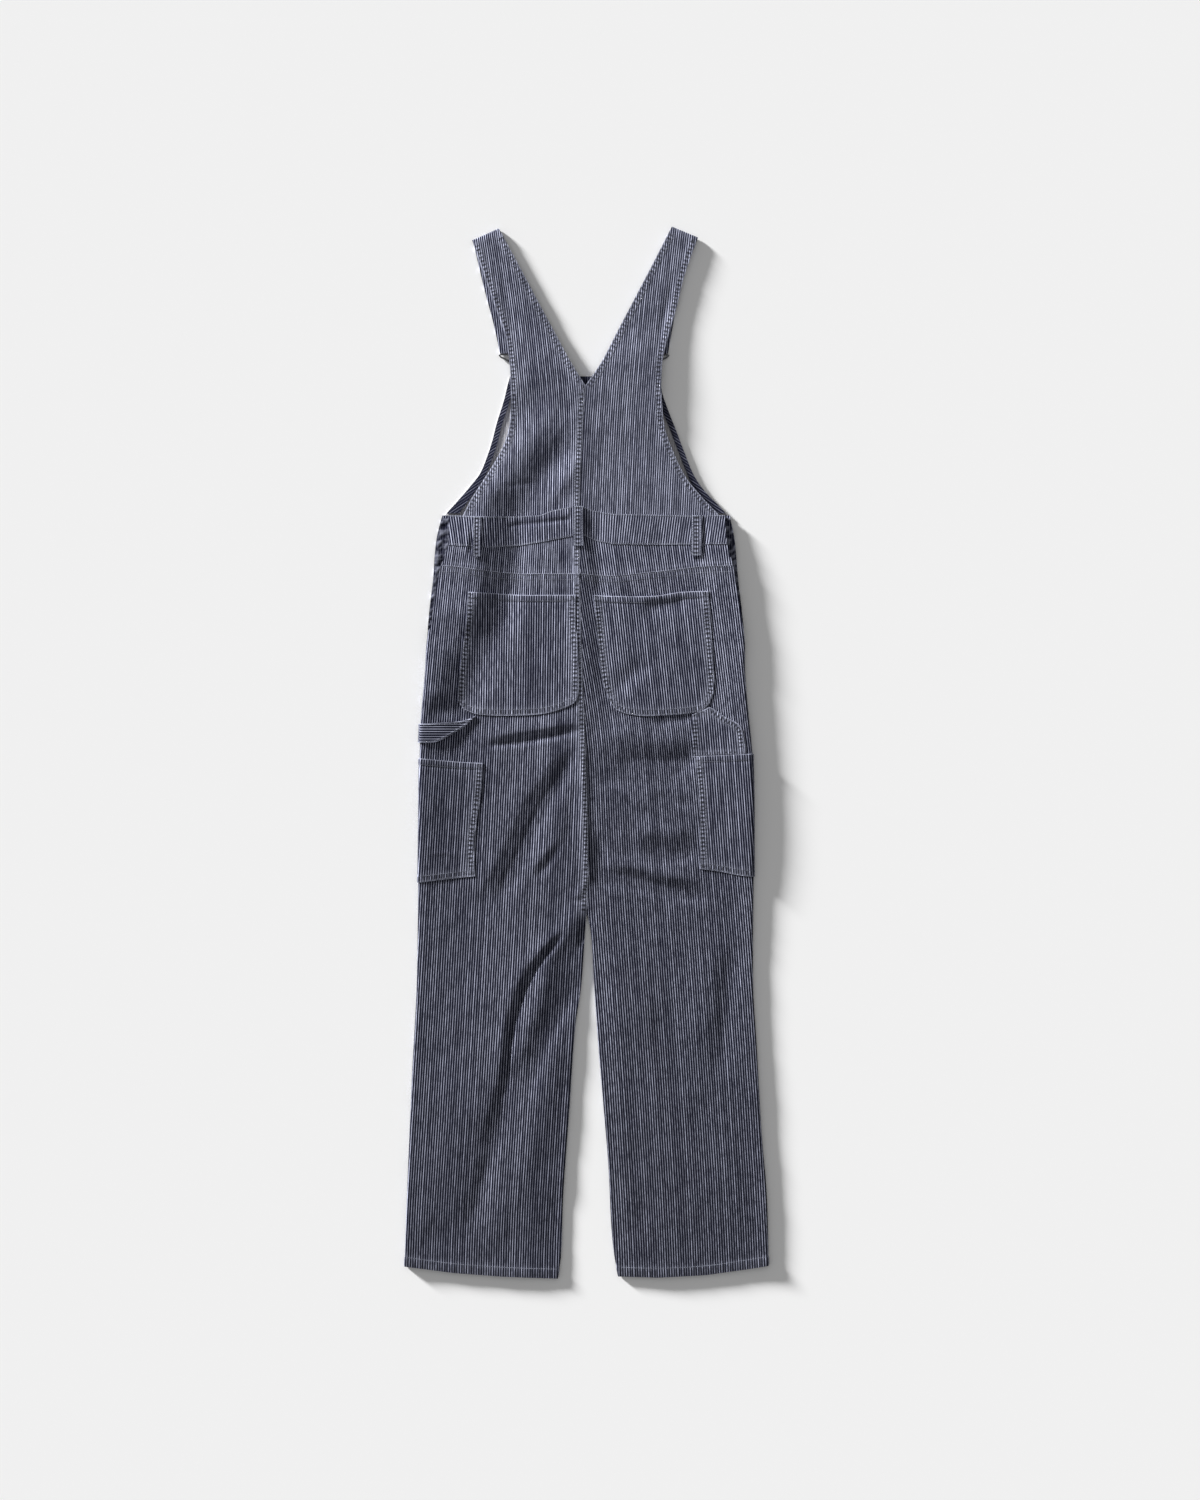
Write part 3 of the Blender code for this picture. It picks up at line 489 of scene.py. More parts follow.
def folded(across, up, side, is_back=True, hip=None):
    """The outer face of a leg at a place, and the way in, with both edges rounded over."""
    low_edge, high_edge = leg_edges(side, hip)
    from_low, from_high = across - low_edge(up), high_edge(up) - across
    near = np.maximum(np.minimum(from_low, from_high), 0.0)
    lower = from_low < from_high
    fold = np.where(lower == (side == "left"), side_fold(up), inseam_fold(up))
    share = 1 - fold * (1 - round_over(near))
    angle = math.pi / 2 * (1 - fold * (1 - np.minimum(near / FOLD_REACH, 1.0) ** FOLD_ROLL))
    toward = np.cos(angle) * np.where(lower, 1.0, -1.0)
    if is_back:
        level = back_height(across, up)
        swell = np.where(lower == (side == "left"), FOLD_SWELL, INSEAM_SWELL)
        level += swell * fold * bump(near, FOLD_SWELL_REACH)
        seat = FOLD_MIDDLE + SEAM / 2
        height, down = seat + (level - seat) * share, -np.sin(angle)
    else:
        height, down = (FOLD_MIDDLE - SEAM / 2) * (1 - share), np.sin(angle)
    inward = np.stack((toward, np.zeros_like(toward), down), axis=-1)
    return place(across, up, height), inward


# Lean of the stripes in degrees from straight up, over to the right above 0: up, at the inner
# edge, at the outer edge
LEFT_LEAN = (
    (0, 0.5, 1.0), (60, 2.4, 2.6), (150, 3.8, 3.8), (350, 3.6, 3.5), (550, 2.9, 3.2),
    (800, 0.8, 5.0), (1030, 0.2, 6.6),
)
RIGHT_LEAN = (
    (0, -2.0, -2.4), (150, -3.5, -3.5), (400, -4.6, -4.3), (490, -4.0, -5.0), (560, -2.0, -6.0),
    (690, -2.0, -7.5), (790, -9.0, -6.5), (850, -11.5, -7.0), (1030, -7.5, -7.5),
)
LEG_LEAN = {"left": LEFT_LEAN, "right": RIGHT_LEAN}
# How much shorter the stripes' dashes are
LEG_DASH = {"left": 1.3, "right": 1.9}
LEFT_BODICE_LEAN = ((1050, 1.0, 1.6), (1150, 1.3, 0.5), (1250, -6.5, -5.0), (1450, -7.7, -7.7))
RIGHT_BODICE_LEAN = ((1050, 2.4, 3.0), (1150, 2.8, 2.8), (1250, 5.0, 4.5), (1450, 6.6, 6.6))
BODICE_LEAN = {"left": LEFT_BODICE_LEAN, "right": RIGHT_BODICE_LEAN}
# The same for the waistband: across, lean
BAND_LEAN = ((-190, -165, -130, -20, 20, 60, 190), (-9.0, -6.0, -2.6, -1.0, 2.0, 7.0, 8.5))


def lean_shift(rows, column, up):
    """How far a stripe has moved to the right, from the first row's up to another."""
    at = np.linspace(rows[0][0], rows[-1][0], 400)
    slope = np.tan(np.radians(np.interp(at, [r[0] for r in rows], [r[column] for r in rows])))
    moved = np.concatenate(([0.0], np.cumsum((slope[1:] + slope[:-1]) / 2 * np.diff(at))))
    return np.interp(up, at, moved)


def grain_at(across, up, rows, inner_share):
    """The stripes' own place across: inner_share is 1 at the inner edge and 0 at the outer."""
    inner, outer = lean_shift(rows, 1, up), lean_shift(rows, 2, up)
    return across - inner * inner_share - outer * (1 - inner_share)


def leg_grain(side, across, up):
    """The stripes' own place across on a leg and on the yoke above it."""
    low, high = leg_edges(side)
    share = (across - low(up)) / (high(up) - low(up))
    return grain_at(across, up, LEG_LEAN[side], share if side == "left" else 1 - share)


class Sheet:
    """A grid of places with the way in, the grain, and the seams that pull on it."""

    def __init__(self, across, up, point, inward, grain, wall):
        self.across, self.up = across, up
        self.point, self.inward = point, inward
        self.grain = grain
        self.dash = 1.0
        self.wall = np.broadcast_to(np.array(wall, float), across.shape).copy()
        self.away = np.full(across.shape, 1e3)
        self.along = np.zeros(across.shape)
        self.wear_and_painted_light = np.zeros(across.shape)
        self.rim = np.full(across.shape, 1e3)
        self.rim_tone = np.zeros(across.shape)

    def raise_by(self, height):
        """Thicken the cloth outwards, with its inner face left where it is."""
        self.point = self.point - self.inward * height[..., None]
        self.wall = self.wall + height

    def sew(self, line, band=0.0, rise=0.0, inside=0.0, pucker=0.0, pitch=8.5, wear_and_painted_light=0.5, reach=4.0):
        """A seam along a line: a raised band on one side of it, puckers, and worn cloth beside it,
        which also sets how strong the painted shade and highlight of its puckers are.
        """
        away, along, _, side = nearest(self.across, self.up, line)
        signed = away * side if inside else away
        middle = inside * band / 2
        from_band = np.abs(signed - middle) - band / 2 if inside else away - band
        raised = rise * (1 - ease(from_band / 1.6 + 0.5))
        wave = 2 * math.pi * along / pitch + 1.7 * np.sin(along / 23.0)
        wave = np.sin(wave + 0.9 * np.sin(along / 7.1))
        near = bump(np.maximum(from_band, 0), reach)
        self.raise_by(raised + pucker * wave * near)
        closer = np.abs(from_band) < np.abs(self.away)
        self.away = np.where(closer, from_band, self.away)
        self.along = np.where(closer, along, self.along)
        self.wear_and_painted_light = np.maximum(self.wear_and_painted_light, wear_and_painted_light * near * (0.75 + 0.25 * wave))

    def crease(self, line, depth, half):
        """A narrow hollow along a line."""
        self.raise_by(-depth * bump(nearest(self.across, self.up, line)[0], half))

    def edge(self, line, tone):
        """A folded edge along a line, worn pale: tone is 0 to 1."""
        away = nearest(self.across, self.up, line)[0]
        self.rim_tone = np.where(away < self.rim, tone, self.rim_tone)
        self.rim = np.minimum(self.rim, away)


def stations(low, high, steps, middle):
    """Places from low to high on the last axis: steps near each end, and even ones between."""
    low, high = np.asarray(low, float)[..., None], np.asarray(high, float)[..., None]
    first, last = low + steps[-1], high - steps[-1]
    shares = np.arange(1, middle + 1) / (middle + 1)
    start = low + np.array(steps)
    end = high - np.array(steps)[::-1]
    return np.concatenate((start, first + (last - first) * shares, end), axis=-1)


def filled(low_row, high_row, edges, steps, grid):
    """Places across and up between two rows, which are functions of across, and two edges."""
    low_edge, high_edge = edges
    count, middle = grid
    columns = 2 * len(steps) + middle
    share = np.linspace(0, 1, count + 1)[:, None] * np.ones((1, columns))
    up = low_row(0.0 * share) + (high_row(0.0 * share) - low_row(0.0 * share)) * share
    each = np.arange(columns)[None, :] * np.ones((count + 1, 1), int)
    for _ in range(7):
        spread = stations(low_edge(up), high_edge(up), steps, middle)
        across = np.take_along_axis(spread, each[..., None].astype(int), axis=-1)[..., 0]
        up = low_row(across) + (high_row(across) - low_row(across)) * share
    return across, up


FOLD_STEPS = (0.0, 0.12, 0.4, 0.9, 1.7, 2.8, 4.2, 6.0, 8.2, 11.0, 14.0)
PLAIN_STEPS = (0.0, 0.5, 1.4, 3.0)
# Rows, and columns between the steps at the two edges
LEG_GRID = (340, 88)
FRONT_GRID = (90, 14)
YOKE_GRID = (16, 66)
BAND_GRID = (18, 150)
HEM_DEPTH = 13.0


def shifted(rows, move):
    return tuple((first, last + move) for first, last in rows)


def offset(line, distance):
    """A line beside another, to its left where the distance is above 0."""
    points = np.array(line, float)
    runs = np.diff(points, axis=0)
    runs /= np.hypot(runs[:, 0], runs[:, 1])[:, None]
    sides = np.stack((-runs[:, 1], runs[:, 0]), axis=-1)
    mean = np.concatenate((sides[:1], sides[:-1] + sides[1:], sides[-1:]))
    mean /= np.hypot(mean[:, 0], mean[:, 1])[:, None]
    return points + mean * distance


def ways_along(points):
    """How far along a line each of its points is."""
    return np.concatenate(([0.0], np.cumsum(np.hypot(*np.diff(points, axis=0).T))))


def curve(line, count):
    """Even places on a smooth curve through a line's points."""
    points = np.array(line, float)
    ways = ways_along(points)
    at = np.linspace(0, ways[-1], count)
    return np.stack([smooth(list(zip(ways, points[:, axis])), at) for axis in (0, 1)], axis=-1)


def edge_line(edge, low, high, count=60):
    up = np.linspace(low, high, count)
    return np.stack((edge(up), up), axis=-1)


def centre_line(low, high, step):
    return [(float(smooth(CENTRE, up)), up) for up in np.arange(low, high, step)]


def sew_centre(sheet, side, centre, beside):
    """The centre seam: a raised band on the left piece, and only puckers beside it on the right."""
    if side == "left":
        sheet.sew(centre, band=8.0, rise=0.4, inside=1, pucker=0.2, pitch=6.0, wear_and_painted_light=0.9)
        sheet.edge(centre, 0.3)
    else:
        sheet.sew(centre, pucker=beside, wear_and_painted_light=0.1)


def back_leg(side):
    """Half of the seat and its leg, from the yoke down to the hem, folded over at its sides."""
    low_row = lambda across: straight(HEM[side], across)
    high_row = lambda across: straight(YOKE_SEAM, across) - SEAM / 2
    across, up = filled(low_row, high_row, leg_edges(side), FOLD_STEPS, LEG_GRID)
    sheet = Sheet(across, up, *folded(across, up, side), leg_grain(side, across, up), WALL)
    sheet.dash = LEG_DASH[side]
    sheet.sew(HEM[side], band=HEM_DEPTH, rise=0.7, inside=1, pucker=0.14, pitch=11, wear_and_painted_light=0.3)
    sheet.sew(YOKE_SEAM, band=9.0, rise=0.25, inside=-1, pucker=0.12, pitch=9.5, wear_and_painted_light=0.25)
    sew_centre(sheet, side, centre_line(506, 976, 10), 0.14)
    return sheet


def front_leg(side):
    hip = FRONT_HIP[side]
    low_row = lambda across: straight(HEM[side], across)
    high_row = lambda across: FRONT_BAND[0] - SEAM / 2 + 0 * across
    across, up = filled(low_row, high_row, leg_edges(side, hip), FOLD_STEPS[:9], FRONT_GRID)
    point, inward = folded(across, up, side, is_back=False, hip=hip)
    return Sheet(across, up, point, inward, across.copy(), WALL)


def flat_sheet(across, up, height, grain, wall, down=-1):
    point = place(across, up, height)
    return Sheet(across, up, point, facing(across.shape, (0, 0, down)), grain, wall)


def yoke(side):
    low_row = lambda across: straight(YOKE_SEAM, across) + SEAM / 2
    high_row = lambda across: straight(BAND_BOTTOM, across) - SEAM / 2
    across, up = filled(low_row, high_row, leg_edges(side), PLAIN_STEPS, YOKE_GRID)
    height = back_height(across, up) - folds_at(across, up, LOOP_HOLLOWS)
    sheet = flat_sheet(across, up, height, leg_grain(side, across, up) + YOKE_GRAIN, WALL)
    sheet.sew(BAND_BOTTOM, pucker=0.14, pitch=9, wear_and_painted_light=0.1)
    sheet.sew(YOKE_SEAM, rise=0.5, band=5.0, pucker=0.14, pitch=9.5, wear_and_painted_light=0.2)
    sheet.edge(YOKE_SEAM, 0.42)
    sew_centre(sheet, side, centre_line(960, 1036, 8), 0.15)
    return sheet


def waistband():
    edges = leg_edges("left")[0], leg_edges("right")[1]
    low_row = lambda across: straight(BAND_BOTTOM, across) + SEAM / 2
    high_row = lambda across: straight(BAND_TOP, across) - SEAM / 2
    across, up = filled(low_row, high_row, edges, PLAIN_STEPS, BAND_GRID)
    height = back_height(across, up) + BAND_RISE - folds_at(across, up, LOOP_HOLLOWS)
    for rise, half, line in BAND_CREASE:
        height += rise * bump(nearest(across, up, line)[0], half)
    lean = np.interp(across, *BAND_LEAN)
    grain = across - np.tan(np.radians(lean)) * (up - BAND_MIDDLE)
    sheet = flat_sheet(across, up, height, grain, BAND_WALL)
    sheet.wear_and_painted_light += BAND_WEAR * ease((across - BAND_WEAR_FROM) / BAND_WEAR_OVER)
    for line in (BAND_TOP, BAND_BOTTOM):
        sheet.sew(line, pucker=0.12, pitch=9, wear_and_painted_light=0.25, reach=2.5)
    sheet.edge(BAND_TOP, 0.4)
    sheet.edge(BAND_BOTTOM, 0.2)
    return sheet


def spread_rows(table, rows):
    """More rows of a table of places, on smooth curves through it."""
    at = np.linspace(0, len(table) - 1, rows)
    columns = [smooth(list(enumerate(row[i] for row in table)), at) for i in range(4)]
    return np.stack(columns, axis=-1)


def between(row, gap=0.0):
    """Places across and up from a row's outer end to its inner one, which the gap moves."""
    across = row[0] + (row[2] + gap - row[0]) * BODICE_SHARES
    return across, row[1] + (row[3] - row[1]) * BODICE_SHARES


def bodice_places(side, gap):
    """Places across and up from the waist to the top of the strap."""
    centre = smooth(CENTRE, BODICE_CENTRE) + gap
    waist = BODICE_WAIST[side] + (centre - BODICE_WAIST[side]) * BODICE_SHARES
    start = np.array((waist, straight(BAND_TOP, waist) + SEAM / 2))
    first = np.array(between(BODICE[side][0], gap))
    rows = [start + (first - start) * share for share in WAIST_SHARES]
    lower = spread_rows(BODICE[side][:NOTCH_ROW], LOWER_ROWS)
    upper = spread_rows(BODICE[side][NOTCH_ROW - 1:], UPPER_ROWS)
    rows += [np.array(between(row, gap)) for row in np.concatenate((lower, upper[1:]))]
    return np.stack(rows, axis=1)


def strap_turn(side, gap):
    """The turn at the strap's top and the end laid under: across, up, places and ways in."""
    top = STRAP_TOP[side]
    edge = np.array((top[2] - top[0], top[3] - top[1]))
    edge /= np.hypot(*edge)
    out = np.array((-edge[1], edge[0])) * (1 if side == "left" else -1)
    radius = float(back_height(np.array((top[0] + top[2]) / 2), np.array(top[1]))) / 2
    rows = []
    for step in range(1, TURN_STEPS):
        turn = math.pi * step / TURN_STEPS
        move = (math.sin(turn) - 1) * radius
        across, up = between(top)
        across, up = across + out[0] * move, up + out[1] * move
        way = (-out[0] * math.sin(turn), -out[1] * math.sin(turn), -math.cos(turn))
        point = place(across, up, radius * (1 + math.cos(turn)))
        rows.append((across, up, point, facing(across.shape, way)))
    for row in spread_rows(STRAP_END[side], STRAP_END_ROWS):
        across, up = between(row, gap)
        rows.append((across, up, place(across, up, 0.0), facing(across.shape, (0, 0, 1))))
    return [np.array(column) for column in zip(*rows)]


def bodice(side):
    """Half of the back bodice, its strap, the turn at the top and the end laid under."""
    inside = -1 if side == "left" else 1
    gap = SEAM / 2 * inside
    across, up = bodice_places(side, gap)
    point, inward = place(across, up, back_height(across, up)), facing(across.shape, (0, 0, -1))
    pairs = zip((across, up, point, inward), strap_turn(side, gap))
    whole = [np.concatenate(pair) for pair in pairs]
    shares = np.broadcast_to(BODICE_SHARES, whole[0].shape)
    grain = grain_at(whole[0], whole[1], BODICE_LEAN[side], shares) * BODICE_FINER
    sheet = Sheet(*whole, grain, BODICE_WALL)
    sheet.wear_and_painted_light += BODICE_WEAR[side]
    count, notch = len(across), len(WAIST_SHARES) + LOWER_ROWS - 1
    outer = list(zip(across[:, 0], up[:, 0]))
    inner = list(zip(across[notch:, -1], up[notch:, -1]))
    seam = list(zip(across[:notch, -1], up[:notch, -1]))
    under = [field[count:].copy() for field in (sheet.point, sheet.wall, sheet.wear_and_painted_light)]
    sheet.sew(outer, band=8.5, rise=0.3, inside=inside, pucker=0.18, pitch=6.0, wear_and_painted_light=0.6)
    sheet.sew(inner, band=8.5, rise=0.3, inside=-inside, pucker=0.14, pitch=6.0, wear_and_painted_light=0.5)
    if side == "left":
        sheet.sew(seam, band=8.0, rise=0.35, inside=1, pucker=0.2, pitch=6.0, wear_and_painted_light=0.9)
        sheet.edge(seam, 0.2)
    else:
        sheet.sew(seam, pucker=0.14, wear_and_painted_light=0.1)
    sheet.sew(BAND_TOP, pucker=0.1, wear_and_painted_light=0.1)
    sheet.edge(outer, 0.4)
    sheet.edge(inner, 0.3)
    sheet.point[count:], sheet.wall[count:], sheet.wear_and_painted_light[count:] = under
    sheet.edges = {"outer": outer, "inner": inner, "seam": seam}
    return sheet


def side_of(name):
    return name.rsplit("_", 1)[-1]


def pocket_sides(name):
    """The pocket's four sides as smooth lines, with the fold of the leg where it wraps over."""
    top, right, bottom, left = POCKETS[name]
    low, high = leg_edges(side_of(name))
    if top[0] is None:
        upper, lower = left
        left = edge_line(low, lower, upper)[::-1]
        top = ((float(low(upper)), upper), *top[1:])
        bottom = ((float(low(lower)), lower), *bottom[1:])
    if top[-1] is None:
        upper, lower = right
        right = edge_line(high, lower, upper)[::-1]
        top = (*top[:-1], (float(high(upper)), upper))
        bottom = (*bottom[:-1], (float(high(lower)), lower))
    return [curve(line, 120) for line in (top, right, bottom, left)]


def patch(sides, rows, columns, steps_low=None, steps_high=None):
    """A grid of places between four sides: top, right, bottom and left."""
    top, right, bottom, left = sides
    reach = np.hypot(*(top[-1] - top[0]))
    even = np.linspace(0, 1, columns)
    if steps_low is not None:
        even = np.concatenate((np.array(steps_low) / reach, even[even > steps_low[-1] / reach + 0.01]))
    if steps_high is not None:
        keep = even[even < 1 - steps_high[-1] / reach - 0.01]
        even = np.concatenate((keep, 1 - np.array(steps_high)[::-1] / reach))
    down = np.linspace(0, 1, rows)

    def at(line, shares):
        index = shares * (len(line) - 1)
        return np.stack([np.interp(index, np.arange(len(line)), line[:, k]) for k in (0, 1)], axis=-1)

    s, t = even[None, :, None], down[:, None, None]
    upper, lower = at(top, even)[None], at(bottom, even)[None]
    west, east = at(left, down)[:, None], at(right, down)[:, None]
    return (
        (1 - t) * upper + t * lower + (1 - s) * west + s * east
        - (1 - s) * (1 - t) * top[0] - s * (1 - t) * top[-1]
        - (1 - s) * t * bottom[0] - s * t * bottom[-1]
    )


def on_leg(side, across, up, lift, wall, grain):
    """A sheet lying on a leg's outer face, lifted off it by the gap under it and its own wall."""
    point, inward = folded(across, up, side)
    return Sheet(across, up, point - inward * (lift + wall), inward, grain, wall)


POCKET_LEAN = {
    "back_pocket_left": 0.8, "back_pocket_right": -6.4,
    "side_pocket_left": 3.5, "side_pocket_right": -4.3,
}
# How far a pocket's stripes are out of step with the leg's
POCKET_GRAIN = 2.2


def pocket(name):
    side = side_of(name)
    sides = pocket_sides(name)
    wraps = name.startswith("side")
    low = FOLD_STEPS if wraps and side == "left" else None
    high = FOLD_STEPS if wraps and side == "right" else None
    grid = patch(sides, 84, 40 if wraps else 76, low, high)[::-1]
    across, up = grid[..., 0], grid[..., 1]
    slope = math.tan(math.radians(POCKET_LEAN[name]))
    grain = across - slope * (up - up.mean()) + POCKET_GRAIN
    sheet = on_leg(side, across, up, CLEAR, POCKET_WALL, grain)
    top, right, bottom, left = sides
    sheet.sew(top, band=9.0, rise=0.5, inside=-1, pucker=0.08, wear_and_painted_light=0.15, reach=2.5)
    sheet.crease(offset(top[::6], -9.6), 0.55 if wraps else 0.35, 1.6)
    sheet.edge(top, 0.65)
    if not (wraps and side == "right"):
        sheet.sew(right, band=8.5, rise=0.15, inside=-1, pucker=0.26, pitch=5.8, wear_and_painted_light=0.8)
        sheet.edge(right, 0.2)
    if not (wraps and side == "left"):
        sheet.sew(left, band=8.5, rise=0.15, inside=1, pucker=0.26, pitch=5.8, wear_and_painted_light=0.8)
        sheet.edge(left, 0.2)
    sheet.sew(bottom, band=8.5, rise=0.15, inside=1, pucker=0.2, pitch=6.0, wear_and_painted_light=0.5)
    sheet.edge(bottom, 0.35)
    sheet.sides = sides
    return sheet


# The tool pocket's stripes: slope, the place where they aren't moved, and how far out of step
TOOL_SLOPE = 0.09
TOOL_MIDDLE = 750.0
TOOL_GRAIN = 0.7


def tool_pocket():
    sides = [
        curve(((146, 779), (155, 783), (163, 785.5)), 20),
        curve(((163, 785.5), (170, 789), (190, 776.5), (212, 763), (218, 738), (219, 724.6)), 60),
        curve(((146.4, 722.2), (180, 723.5), (219, 724.6)), 20),
        curve(((146, 779), (146.4, 722.2)), 40),
    ]
    grid = patch(sides, 40, 34)[::-1]
    across, up = grid[..., 0], grid[..., 1]
    grain = across + TOOL_SLOPE * (up - TOOL_MIDDLE) + TOOL_GRAIN
    sheet = on_leg("right", across, up, CLEAR, POCKET_WALL, grain)
    for line, inside, band in zip(sides, (-1, -1, 1, 1), (5.0, 8.5, 5.0, 8.5)):
        sheet.sew(line, band=band, rise=0.2, inside=inside, pucker=0.2, pitch=5.8, wear_and_painted_light=0.7, reach=2.5)
    sheet.edge(sides[0], 0.35)
    sheet.edge(sides[1], 0.7)
    sheet.sides = sides
    return sheet


# The hammer loop's arch over the leg: height, where it is highest, and its half width
HAMMER_ARCH = 1.3
HAMMER_MIDDLE = -196.0
HAMMER_REACH = 16.0


def hammer_loop():
    low, _ = leg_edges("left")
    edge = [float(low(up)) for up in (766.0, 740.0)]
    sides = [
        curve(((edge[0], 766), (-200, 768), (-180, 769), (-162, 773), (-154, 777)), 60),
        curve(((-154, 777), (-154, 775.5)), 10),
        curve(((edge[1], 740), (-208, 741), (-187, 751), (-169, 762), (-154, 775.5)), 60),
        edge_line(low, 740.0, 766.0)[::-1],
    ]
    grid = patch(sides, 20, 40, FOLD_STEPS)[::-1]
    across, up = grid[..., 0], grid[..., 1]
    arch = HAMMER_ARCH * bump(across - HAMMER_MIDDLE, HAMMER_REACH)
    sheet = on_leg("left", across, up, CLEAR + arch[..., None], LOOP_WALL, up.copy())
    for line, inside in ((sides[0], -1), (sides[2], 1)):
        sheet.sew(line, band=3.0, rise=0.4, inside=inside, pucker=0.1, pitch=7, wear_and_painted_light=0.35, reach=2.0)
        sheet.edge(line, 0.45)
    sheet.sides = sides
    return sheet


# Belt loops: middle across, width, low end, high end, lean to the right over its length, fall of
# its middle from left to right, and how pale its left edge is made: worn, and on the left loop also a
# painted highlight where that edge stands off towards the light
BELT_LOOPS = {
    "belt_loop_left": (-151, 11, 996.5, 1051.5, 1.0, 1.5, 0.5),
    "belt_loop_centre": (-11.5, 14, 1011.5, 1066.5, 0.0, 0.0, 0.2),
    "belt_loop_right": (151.5, 15, 998, 1054, 1.5, 0.0, 0.2),
}
BELT_LOOP_ARCH = 0.4
BELT_LOOP_CROWN = 0.15


def belt_loop(name):
    """A strip over the band, fast at both ends and standing off between them."""
    middle, width, low, high, lean, fall, pale = BELT_LOOPS[name]
    share = np.linspace(0, 1, 40)[:, None]
    side = np.linspace(-0.5, 0.5, 13)[None, :]
    up = low + (high - low) * share + 0 * side
    across = middle + lean * (share - 0.5) + width * side
    ground = np.max([
        back_height(middle + away + 0 * up, up + level) for away in (-5, 0, 5) for level in (-4, 0, 4)
    ], axis=0)
    height = ground + BAND_RISE + CLEAR + BELT_LOOP_WALL
    height += BELT_LOOP_CROWN * np.cos(2 * math.pi * side)
    height += (BELT_LOOP_ARCH - fall * side) * np.sin(math.pi * share)
    sheet = flat_sheet(across, up, height, across + 0.6, BELT_LOOP_WALL)
    run = lambda part: [
        (middle + lean * (k / 8 - 0.5) + width * part, low + (high - low) * k / 8) for k in range(9)
    ]
    sheet.sew(run(0), band=0.3 * width, rise=-0.2, pucker=0.15, pitch=6, wear_and_painted_light=0.9, reach=1.0)
    # The left edge's pale line is wear, and on the left loop also painted highlight where it catches
    # the light.
    sheet.edge(run(-0.5), pale)
    sheet.edge(run(0.5), 0.2)
    return sheet


# Side openings: the strip of the front's side that shows beside the back
PLACKET = (897.0, 1050.0)
PLACKET_WIDTH = 24.0
PLACKET_WALL = 2.4
PLACKET_RISES = 980.0
PLACKET_RISE_OVER = 20.0
PLACKET_CRUMPLE = ((0.55, 11.0, 21), (0.3, 6.5, 22))


def placket(side):
    edge = SIDE[side] + FRONT_HIP[side]
    sign = 1 if side == "left" else -1
    up = np.linspace(*PLACKET, 90)[:, None] + np.zeros((1, 16))
    share = np.linspace(0, 1, 16)[None, :] + 0 * up
    if side == "right":
        share = share[:, ::-1]
    across = smooth(edge, up) + sign * PLACKET_WIDTH * share
    seat = WALL + CLEAR + (BAND_WALL - WALL) * ease((up - PLACKET_RISES) / PLACKET_RISE_OVER)
    crumple = uneven(across, up, PLACKET_CRUMPLE)
    top = seat + PLACKET_WALL + (0.5 + crumple) * (1 - 0.5 * share)
    sheet = flat_sheet(across, up, top, across + 0.4, PLACKET_WALL)
    # The crumples' tops are made paler through the wear attribute: painted highlight where they catch
    # the light, on a ground worn a little paler all over.
    sheet.wear_and_painted_light += np.clip(0.3 + 1.1 * crumple, 0, 1)
    return sheet


def level_sheet(low_edge, high_edge, ups, columns, height, wall, down, grain=None):
    up = np.asarray(ups, float)[:, None] + np.zeros((1, columns))
    share = np.linspace(0, 1, columns)[None, :]
    across = low_edge(up) + (high_edge(up) - low_edge(up)) * share
    return flat_sheet(across, up, height, across if grain is None else grain(across, up), wall, down)


# Turned edges of the bib: up, width
FACING_WIDTH = ((1058, 17), (1075, 14), (1093, 11.5), (1112, 8), (1240, 8))
FACING_WALL = 1.4
TOP_FACING = 12.0
# The slant of the armhole facings' stripes, across and up
FACING_SLANT = (0.55, 0.84)


def bib_pieces():
    """The front waistband, the bib's wrong side and its turned edges."""
    low, high = (edge_of(SIDE[side] + FRONT_HIP[side]) for side in SIDES)
    bib_low, bib_high = (edge_of(BIB[side]) for side in SIDES)
    rows = np.linspace(FRONT_BAND[0] + SEAM / 2, FRONT_BAND[1] - SEAM / 2, 5)
    made = {"front_waistband": level_sheet(low, high, rows, 40, 0.0, BAND_WALL, 1)}
    rows = np.linspace(FRONT_BAND[1] + SEAM / 2, BIB_TOP, 60)
    made["bib"] = level_sheet(bib_low, bib_high, rows, 60, 0.0, WALL, 1)
    level = WALL + CLEAR + FACING_WALL
    rows = np.linspace(FRONT_BAND[1] + 3, BIB_TOP - TOP_FACING - SEAM, 60)
    for side, sign, outer in (("left", 1, bib_low), ("right", -1, bib_high)):
        inner = lambda up: outer(up) + sign * straight(FACING_WIDTH, up)
        slanted = lambda across, up: FACING_SLANT[0] * across - sign * FACING_SLANT[1] * up
        edges = (outer, inner)[::sign]
        made[f"bib_facing_{side}"] = level_sheet(*edges, rows, 9, level, FACING_WALL, -1, slanted)
    rows = np.linspace(BIB_TOP - TOP_FACING, BIB_TOP, 8)
    made["bib_facing_top"] = level_sheet(bib_low, bib_high, rows, 80, level, FACING_WALL, -1)
    for name, sheet in made.items():
        if name.startswith("bib_facing"):
            ridge = 0.28 * np.sin(sheet.up / 3.1 + np.sin(sheet.up / 11.0))
            sheet.raise_by(0.3 + 0.5 * ridge)
            sheet.wear_and_painted_light += 0.25 + 0.3 * ridge
    return made


